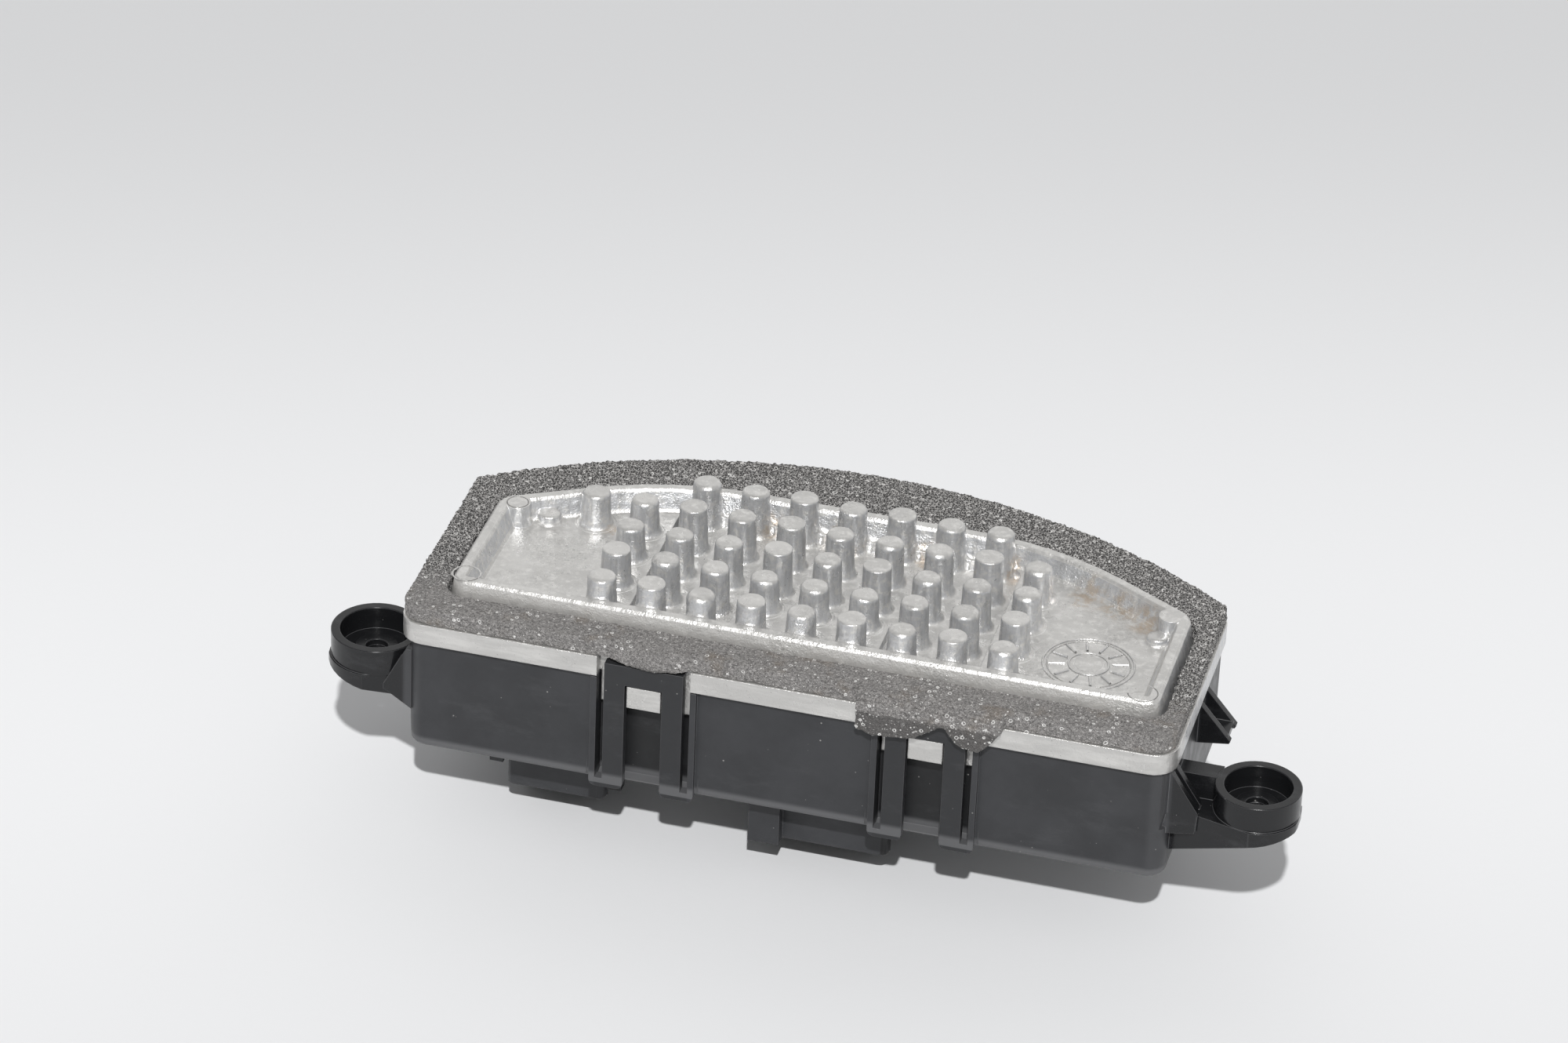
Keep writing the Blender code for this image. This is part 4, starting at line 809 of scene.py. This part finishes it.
def divided_ring(work, x, y, base):
    """The plain divided ring: three rings, twelve strokes and a low disc in the middle."""
    rings = ((RING_RADIUS, 0.34, 0.20), (RING_RADIUS - 0.6, 0.22, 0.10), (3.1, 0.34, 0.20))
    for radius, width, height in rings:
        ridge(work, circle_points(x, y, radius), width, height, base, closed=True)
    for i in range(RING_STROKES):
        angle = math.tau * (i + 0.5) / RING_STROKES
        steps = (3.7, 4.6, 5.5, RING_RADIUS - 0.9)
        stroke = [(x + reach * math.cos(angle), y + reach * math.sin(angle)) for reach in steps]
        ridge(work, stroke, 0.42, 0.30, base)
    disc = [(2.3, base - 0.05), (2.25, base + 0.05), (2.05, base + 0.10), (1.0, base + 0.10)]
    turned_rings(work, (x, y), disc, 40)


def cast_marks(work):
    """Marks of the casting tool: the divided ring, ejector rings and low lumps by the bosses."""
    base = POCKET_FLOOR
    divided_ring(work, *RING_CENTRE, base)
    for x, y, radius in EJECTOR_RINGS:
        ridge(work, circle_points(x, y, radius, 40), 0.22, 0.05, RIM_TOP, closed=True)
    for x, y, radius, rise in LUMPS:
        profile = [(radius + 0.8, base - 0.05), (radius + 0.35, base + 0.12), (radius, base + 0.5)]
        for turn in (0.0, 0.5, 1.0, 1.57):
            profile.append((radius - 0.5 * (1 - math.cos(turn)), base + rise - 0.5 + 0.5 * math.sin(turn)))
        profile.append(((radius - 0.5) * 0.5, base + rise + 0.03))
        turned_rings(work, (x, y), profile, 28)


class RESISTOR_OT_heat_sink(bpy.types.Operator):
    """Shows the heat sink as cast: its solid with finely rounded pins"""

    bl_idname = "resistor.heat_sink"
    bl_label = "Heat sink"

    def execute(self, context):
        look = context.scene.resistor_finish
        work = copied_mesh("heat_sink")
        floor = place(0, 0, PIT_FLOOR).z
        pins = list(pin_centres())
        centres = [place(x, y, 0.0) for _column, _row, x, y in pins]

        def on_pin(vertex, centre):
            rise = (vertex.co.z - floor) / MM
            if rise < PIN_FOOT:
                limit = PIN_RADIUS + PIN_DRAFT + PIN_FOOT - rise
            else:
                limit = PIN_RADIUS + PIN_DRAFT * (1 - (rise - PIN_FOOT) / (PIN_TOP - PIT_FLOOR - PIN_FOOT))
            away = math.hypot(vertex.co.x - centre.x, vertex.co.y - centre.y) / MM
            return away < limit + 0.03

        doomed = [
            face for face in work.faces
            if max(v.co.z for v in face.verts) > floor + 0.02 * MM
            and any(all(on_pin(v, centre) for v in face.verts) for centre in centres)
        ]
        bmesh.ops.delete(work, geom=doomed, context="FACES")
        for column, row, x, y in pins:
            cast_pin(work, column, row, x, y)
        cast_marks(work)
        finished_copy(work, "heat_sink_cast", "heat_sink", cast_aluminium(look))
        return {"FINISHED"}


class RESISTOR_OT_foam(bpy.types.Operator):
    """Makes the foam gasket with its open cells and torn flap"""

    bl_idname = "resistor.foam"
    bl_label = "Foam gasket"

    def execute(self, context):
        look = context.scene.resistor_finish
        work = copied_mesh("foam_gasket")
        mesh = bpy.data.meshes.new("foam_blank")
        work.to_mesh(mesh)
        work.free()
        blank = bpy.data.objects.new("foam_blank", mesh)
        context.scene.collection.objects.link(blank)
        remesh = blank.modifiers.new("grid", "REMESH")
        remesh.mode = "VOXEL"
        remesh.voxel_size = look.foam_grid * MM
        graph = context.evaluated_depsgraph_get()
        dense = bpy.data.meshes.new_from_object(blank.evaluated_get(graph))
        bpy.data.objects.remove(blank)
        dense.name = "foam_cells"
        self.roughen(dense)
        piece = new_piece("foam_cells", dense, open_cell_foam(look))
        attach(piece, "root")
        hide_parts("foam_gasket")
        return {"FINISHED"}

    def roughen(self, mesh):
        """Opens the surface, most at the rear, seats the underside and bulges it over one latch."""
        outward = [vertex.normal.copy() for vertex in mesh.vertices]
        for vertex, normal in zip(mesh.vertices, outward):
            point = vertex.co / MM
            x, y, z = (vertex.co - ORIGIN) / MM
            ragged = 0.14 + 0.20 * min(1.0, max(0.0, (y - 8.0) / 6.0))
            cell = noise.noise(point * 2.1) * ragged + noise.noise(point * 0.35) * 0.16
            vertex.co += normal * (cell - 0.05) * MM
            seat = FOAM_SEAT * max(0.0, min(1.0, (4.5 - z) / 0.6)) if z > 3.3 else 0.0
            bulge = max(0.0, 1.0 - ((x - BULGE_X) / BULGE_HALF_WIDTH) ** 2)
            bulge *= max(0.0, 1.0 - abs(y) / BULGE_DEPTH)
            drop = BULGE_DROP * max(0.0, FOAM_TOP - z) / FOAM_THICKNESS * bulge
            vertex.co += Vector((0.0, -bulge, -drop - seat)) * MM


def strip_sides(work):
    """Takes the plain ears and wedges off the housing's sides, along its walls and front corners."""
    radius = FRONT_CORNER - HOUSING_INSET
    facet = math.pi / 2 / CORNER_FACETS
    for side in (-1, 1):
        x = side * (PLATE_HALF_WIDTH - FRONT_CORNER) + HOUSING_SHIFT
        for step in range(CORNER_FACETS + 1):
            turn = max(step - 0.5, 0.0) * facet
            out = Vector((side * math.cos(turn), -math.sin(turn), 0.0))
            reach = radius if step == 0 else radius * math.cos(facet / 2)
            bmesh.ops.bisect_plane(
                work, geom=[*work.verts, *work.edges, *work.faces], dist=2e-6, clear_outer=True,
                plane_co=place(x, FRONT_CORNER, 0.0) + out * (reach + 0.004) * MM, plane_no=out)
    open_edges = [edge for edge in work.edges if edge.is_boundary]
    bmesh.ops.holes_fill(work, edges=open_edges, sides=0)


def sharpen_lower_edge(work):
    """Brings the housing's round lower edge down to its real, tighter radius."""
    corner = PLATE_HALF_WIDTH - FRONT_CORNER
    for vertex in work.verts:
        x, y, z = (vertex.co - ORIGIN) / MM
        if not SOLID_BOTTOM - 0.01 < z < SOLID_BOTTOM + SOLID_ROUND - 0.01:
            continue
        across = x - HOUSING_SHIFT
        if y < FRONT_CORNER and abs(across) < corner:
            out, wall = Vector((0.0, -1.0)), y - HOUSING_INSET
        elif y < FRONT_CORNER:
            out = Vector((across - math.copysign(corner, across), y - FRONT_CORNER))
            wall = FRONT_CORNER - HOUSING_INSET - out.length
            out.normalize()
        else:
            rear = Vector((across, y - REAR_ARC_Y))
            out, wall = Vector((math.copysign(1.0, across), 0.0)), HOUSING_SIDE - abs(across)
            if REAR_ARC_RADIUS - HOUSING_INSET - rear.length < wall:
                out, wall = rear.normalized(), REAR_ARC_RADIUS - HOUSING_INSET - rear.length
        sink = min(1.0, (SOLID_BOTTOM + SOLID_ROUND - z) / SOLID_ROUND)
        inward = SOLID_ROUND * (1 - math.sqrt(1 - sink * sink))
        if abs(wall - inward) < 0.12:
            shift = (1 - HOUSING_ROUND / SOLID_ROUND) * inward
            level = HOUSING_BOTTOM + HOUSING_ROUND * (1 - sink)
            vertex.co = place(x + out.x * shift, y + out.y * shift, level)
        elif sink > 0.99:
            vertex.co.z = place(0, 0, HOUSING_BOTTOM).z


def slab(work, outline, front, back):
    """An upright plate: an outline of (x, z) points between two places in Y."""
    rings = [[work.verts.new(place(x, y, z)) for x, z in outline] for y in (front, back)]
    for i, _point in enumerate(outline):
        j = (i + 1) % len(outline)
        work.faces.new((rings[0][i], rings[0][j], rings[1][j], rings[1][i]))
    work.faces.new(rings[0][::-1])
    work.faces.new(rings[1])


def screw_ear(work, x, radius, web_back, taper):
    """A screw ear: a stepped cup on a foot plate, and a web to the housing."""
    side = math.copysign(1.0, x)
    wall = side * WALL_INSIDE
    bore = radius - EAR_WALL
    cup = [
        (radius, EAR_SEAT - 0.1), (radius, EAR_TOP - EAR_EDGE), (radius - EAR_EDGE, EAR_TOP),
        (bore + EAR_EDGE, EAR_TOP), (bore, EAR_TOP - EAR_EDGE), (bore, EAR_FLOOR),
        (EAR_RING + 0.1, EAR_FLOOR), (EAR_RING, EAR_FLOOR + 0.4), (EAR_RING - 0.1, EAR_FLOOR + 0.5),
        (EAR_HOLE + 0.1, EAR_FLOOR + 0.5), (EAR_HOLE, EAR_FLOOR + 0.4), (EAR_HOLE, EAR_SEAT - 0.1),
    ]
    turned_rings(work, (x, EAR_Y), cup, 48, capped=False)
    foot_plate(work, x, radius, wall, taper)
    inner, outer = sorted((wall, x - side * (radius - EAR_WALL / 2)))
    low, high = EAR_SEAT - 0.1, EAR_TOP - 0.05
    web = [(inner, low), (outer, low), (outer, high), (inner, high)]
    slab(work, web, EAR_Y + web_back - EAR_WEB / 2, EAR_Y + web_back + EAR_WEB / 2)


def foot_plate(work, x, radius, wall, taper):
    """The plate under an ear's cup, with its screw hole, that grows thinner outwards."""
    side = math.copysign(1.0, x)
    reach = radius + EAR_MARGIN
    turns = [math.pi * i / 16 for i in range(17)]
    outline = [
        (x + side * min(radius, reach * math.sin(turn)), EAR_Y - reach * math.cos(turn)) for turn in turns]
    middle = (x + wall) / 2
    root = [(wall, EAR_Y + reach - (2 * reach - EAR_RETREAT) * i / 6) for i in range(7)]
    outline += [(middle, EAR_Y + reach), *root, (middle, EAR_Y - reach + EAR_RETREAT / 2)]
    hole = [Vector((px - x, py - EAR_Y)).normalized() * EAR_HOLE + Vector((x, EAR_Y)) for px, py in outline]

    def ring(points, top):
        verts = []
        for px, py in points:
            out = side * (px - x)
            under = EAR_BOTTOM + (EAR_TIP_TAPER if out > 0 else taper) * out
            verts.append(work.verts.new(place(px, py, EAR_SEAT if top else under)))
        return verts

    rings = [ring(hole, True), ring(outline, True), ring(outline, False), ring(hole, False)]
    for one, two in zip(rings, [*rings[1:], rings[0]]):
        for i, _point in enumerate(outline):
            j = (i + 1) % len(outline)
            work.faces.new((one[i], one[j], two[j], two[i]))


def guide_wedge(work, front, pitch, reach, tip, foot):
    """Two pointed ribs on the housing's right wall, tied at their foot."""
    end = HOUSING_SIDE + reach
    rib = [
        (WALL_INSIDE, -0.4), (HOUSING_SIDE, -0.4), (end, -tip), (end - 0.2, -foot),
        (WALL_INSIDE, -foot - 0.9),
    ]
    slab(work, rib, front, front + WEDGE_RIB)
    slab(work, rib, front + pitch, front + pitch + WEDGE_RIB)
    top = WEDGE_RIB - foot
    tie = [(WALL_INSIDE, -foot), (end - 0.5, -foot), (end - 0.5, top), (WALL_INSIDE, top)]
    slab(work, tie, front + WEDGE_RIB / 2, front + pitch + WEDGE_RIB / 2)


class RESISTOR_OT_housing(bpy.types.Operator):
    """Shows the moulded housing with its stepped ear cups, tapered foot plates and guide wedges"""

    bl_idname = "resistor.housing"
    bl_label = "Housing"

    def execute(self, context):
        work = copied_mesh("housing")
        strip_sides(work)
        sharpen_lower_edge(work)
        for ear in EARS:
            screw_ear(work, *ear)
        slab(work, GUSSET, *GUSSET_DEPTH)
        for wedge in WEDGES:
            guide_wedge(work, *wedge)
        bmesh.ops.recalc_face_normals(work, faces=work.faces)
        soften(work)
        finished_copy(work, "housing_moulding", "housing", black_plastic(context.scene.resistor_finish))
        return {"FINISHED"}


class RESISTOR_OT_electronics(bpy.types.Operator):
    """Gives the board, its parts and the contacts their finishes"""

    bl_idname = "resistor.electronics"
    bl_label = "Board and contacts"

    def execute(self, context):
        tin = plain_metal("tinned contact", (0.70, 0.69, 0.66), 0.28)
        steel = plain_metal("screw steel", (0.55, 0.55, 0.56), 0.35)
        spring = plain_metal("spring steel", (0.42, 0.42, 0.44), 0.30)
        compound = plain_moulding("moulding compound", (0.028, 0.028, 0.030), 0.55, 0.5)
        finishes = {
            "circuit_board": board_laminate("board laminate"),
            "insulating_pad_left": plain_moulding("silicone pad", (0.42, 0.45, 0.48), 0.65),
            "clamp_spring": spring,
            "clamp_screw": steel,
            "choke_core": plain_moulding("ferrite", (0.06, 0.058, 0.056), 0.5, 0.6, 0.04),
            "choke_winding": plain_metal("enamelled copper", (0.72, 0.32, 0.16), 0.25),
            "shunt_resistor": plain_metal("shunt metal", (0.55, 0.44, 0.34), 0.4),
        }
        finishes["insulating_pad_right"] = finishes["insulating_pad_left"]
        sleeve = plain_moulding("capacitor sleeve", (0.03, 0.03, 0.045), 0.35, 2.0)
        for node in NODES:
            if node.startswith(("motor_blade", "supply_blade", "signal_pin")):
                finishes[node] = tin
            elif node.startswith("board_screw"):
                finishes[node] = steel
            elif node.startswith(("transistor", "control_chip", "suppressor")):
                finishes[node] = compound
            elif "capacitor" in node:
                finishes[node] = sleeve
        for node, material in finishes.items():
            dress(node, material)
        return {"FINISHED"}


class RESISTOR_PT_panel(bpy.types.Panel):
    """The resistor's pieces, stage and settings"""

    bl_idname = "RESISTOR_PT_panel"
    bl_label = "Blower resistor"
    bl_space_type = "VIEW_3D"
    bl_region_type = "UI"
    bl_category = "Resistor"

    def draw(self, context):
        for settings in (context.scene.resistor_finish, context.scene.resistor_stage):
            for name in settings.__annotations__:
                self.layout.prop(settings, name)
        for operator in STEPS:
            self.layout.operator(operator.bl_idname)


STEPS = (
    RESISTOR_OT_stage,
    RESISTOR_OT_heat_sink,
    RESISTOR_OT_foam,
    RESISTOR_OT_housing,
    RESISTOR_OT_electronics,
)
CLASSES = (ResistorFinish, ResistorStage, *STEPS, RESISTOR_PT_panel)


def register():
    for cls in CLASSES:
        bpy.utils.register_class(cls)
    bpy.types.Scene.resistor_finish = bpy.props.PointerProperty(type=ResistorFinish)
    bpy.types.Scene.resistor_stage = bpy.props.PointerProperty(type=ResistorStage)


def unregister():
    del bpy.types.Scene.resistor_stage
    del bpy.types.Scene.resistor_finish
    for cls in reversed(CLASSES):
        bpy.utils.unregister_class(cls)


def main():
    """Runs every step in order."""
    register()
    bpy.ops.resistor.stage()
    bpy.ops.resistor.heat_sink()
    bpy.ops.resistor.foam()
    bpy.ops.resistor.housing()
    bpy.ops.resistor.electronics()


if __name__ == "__main__":
    main()
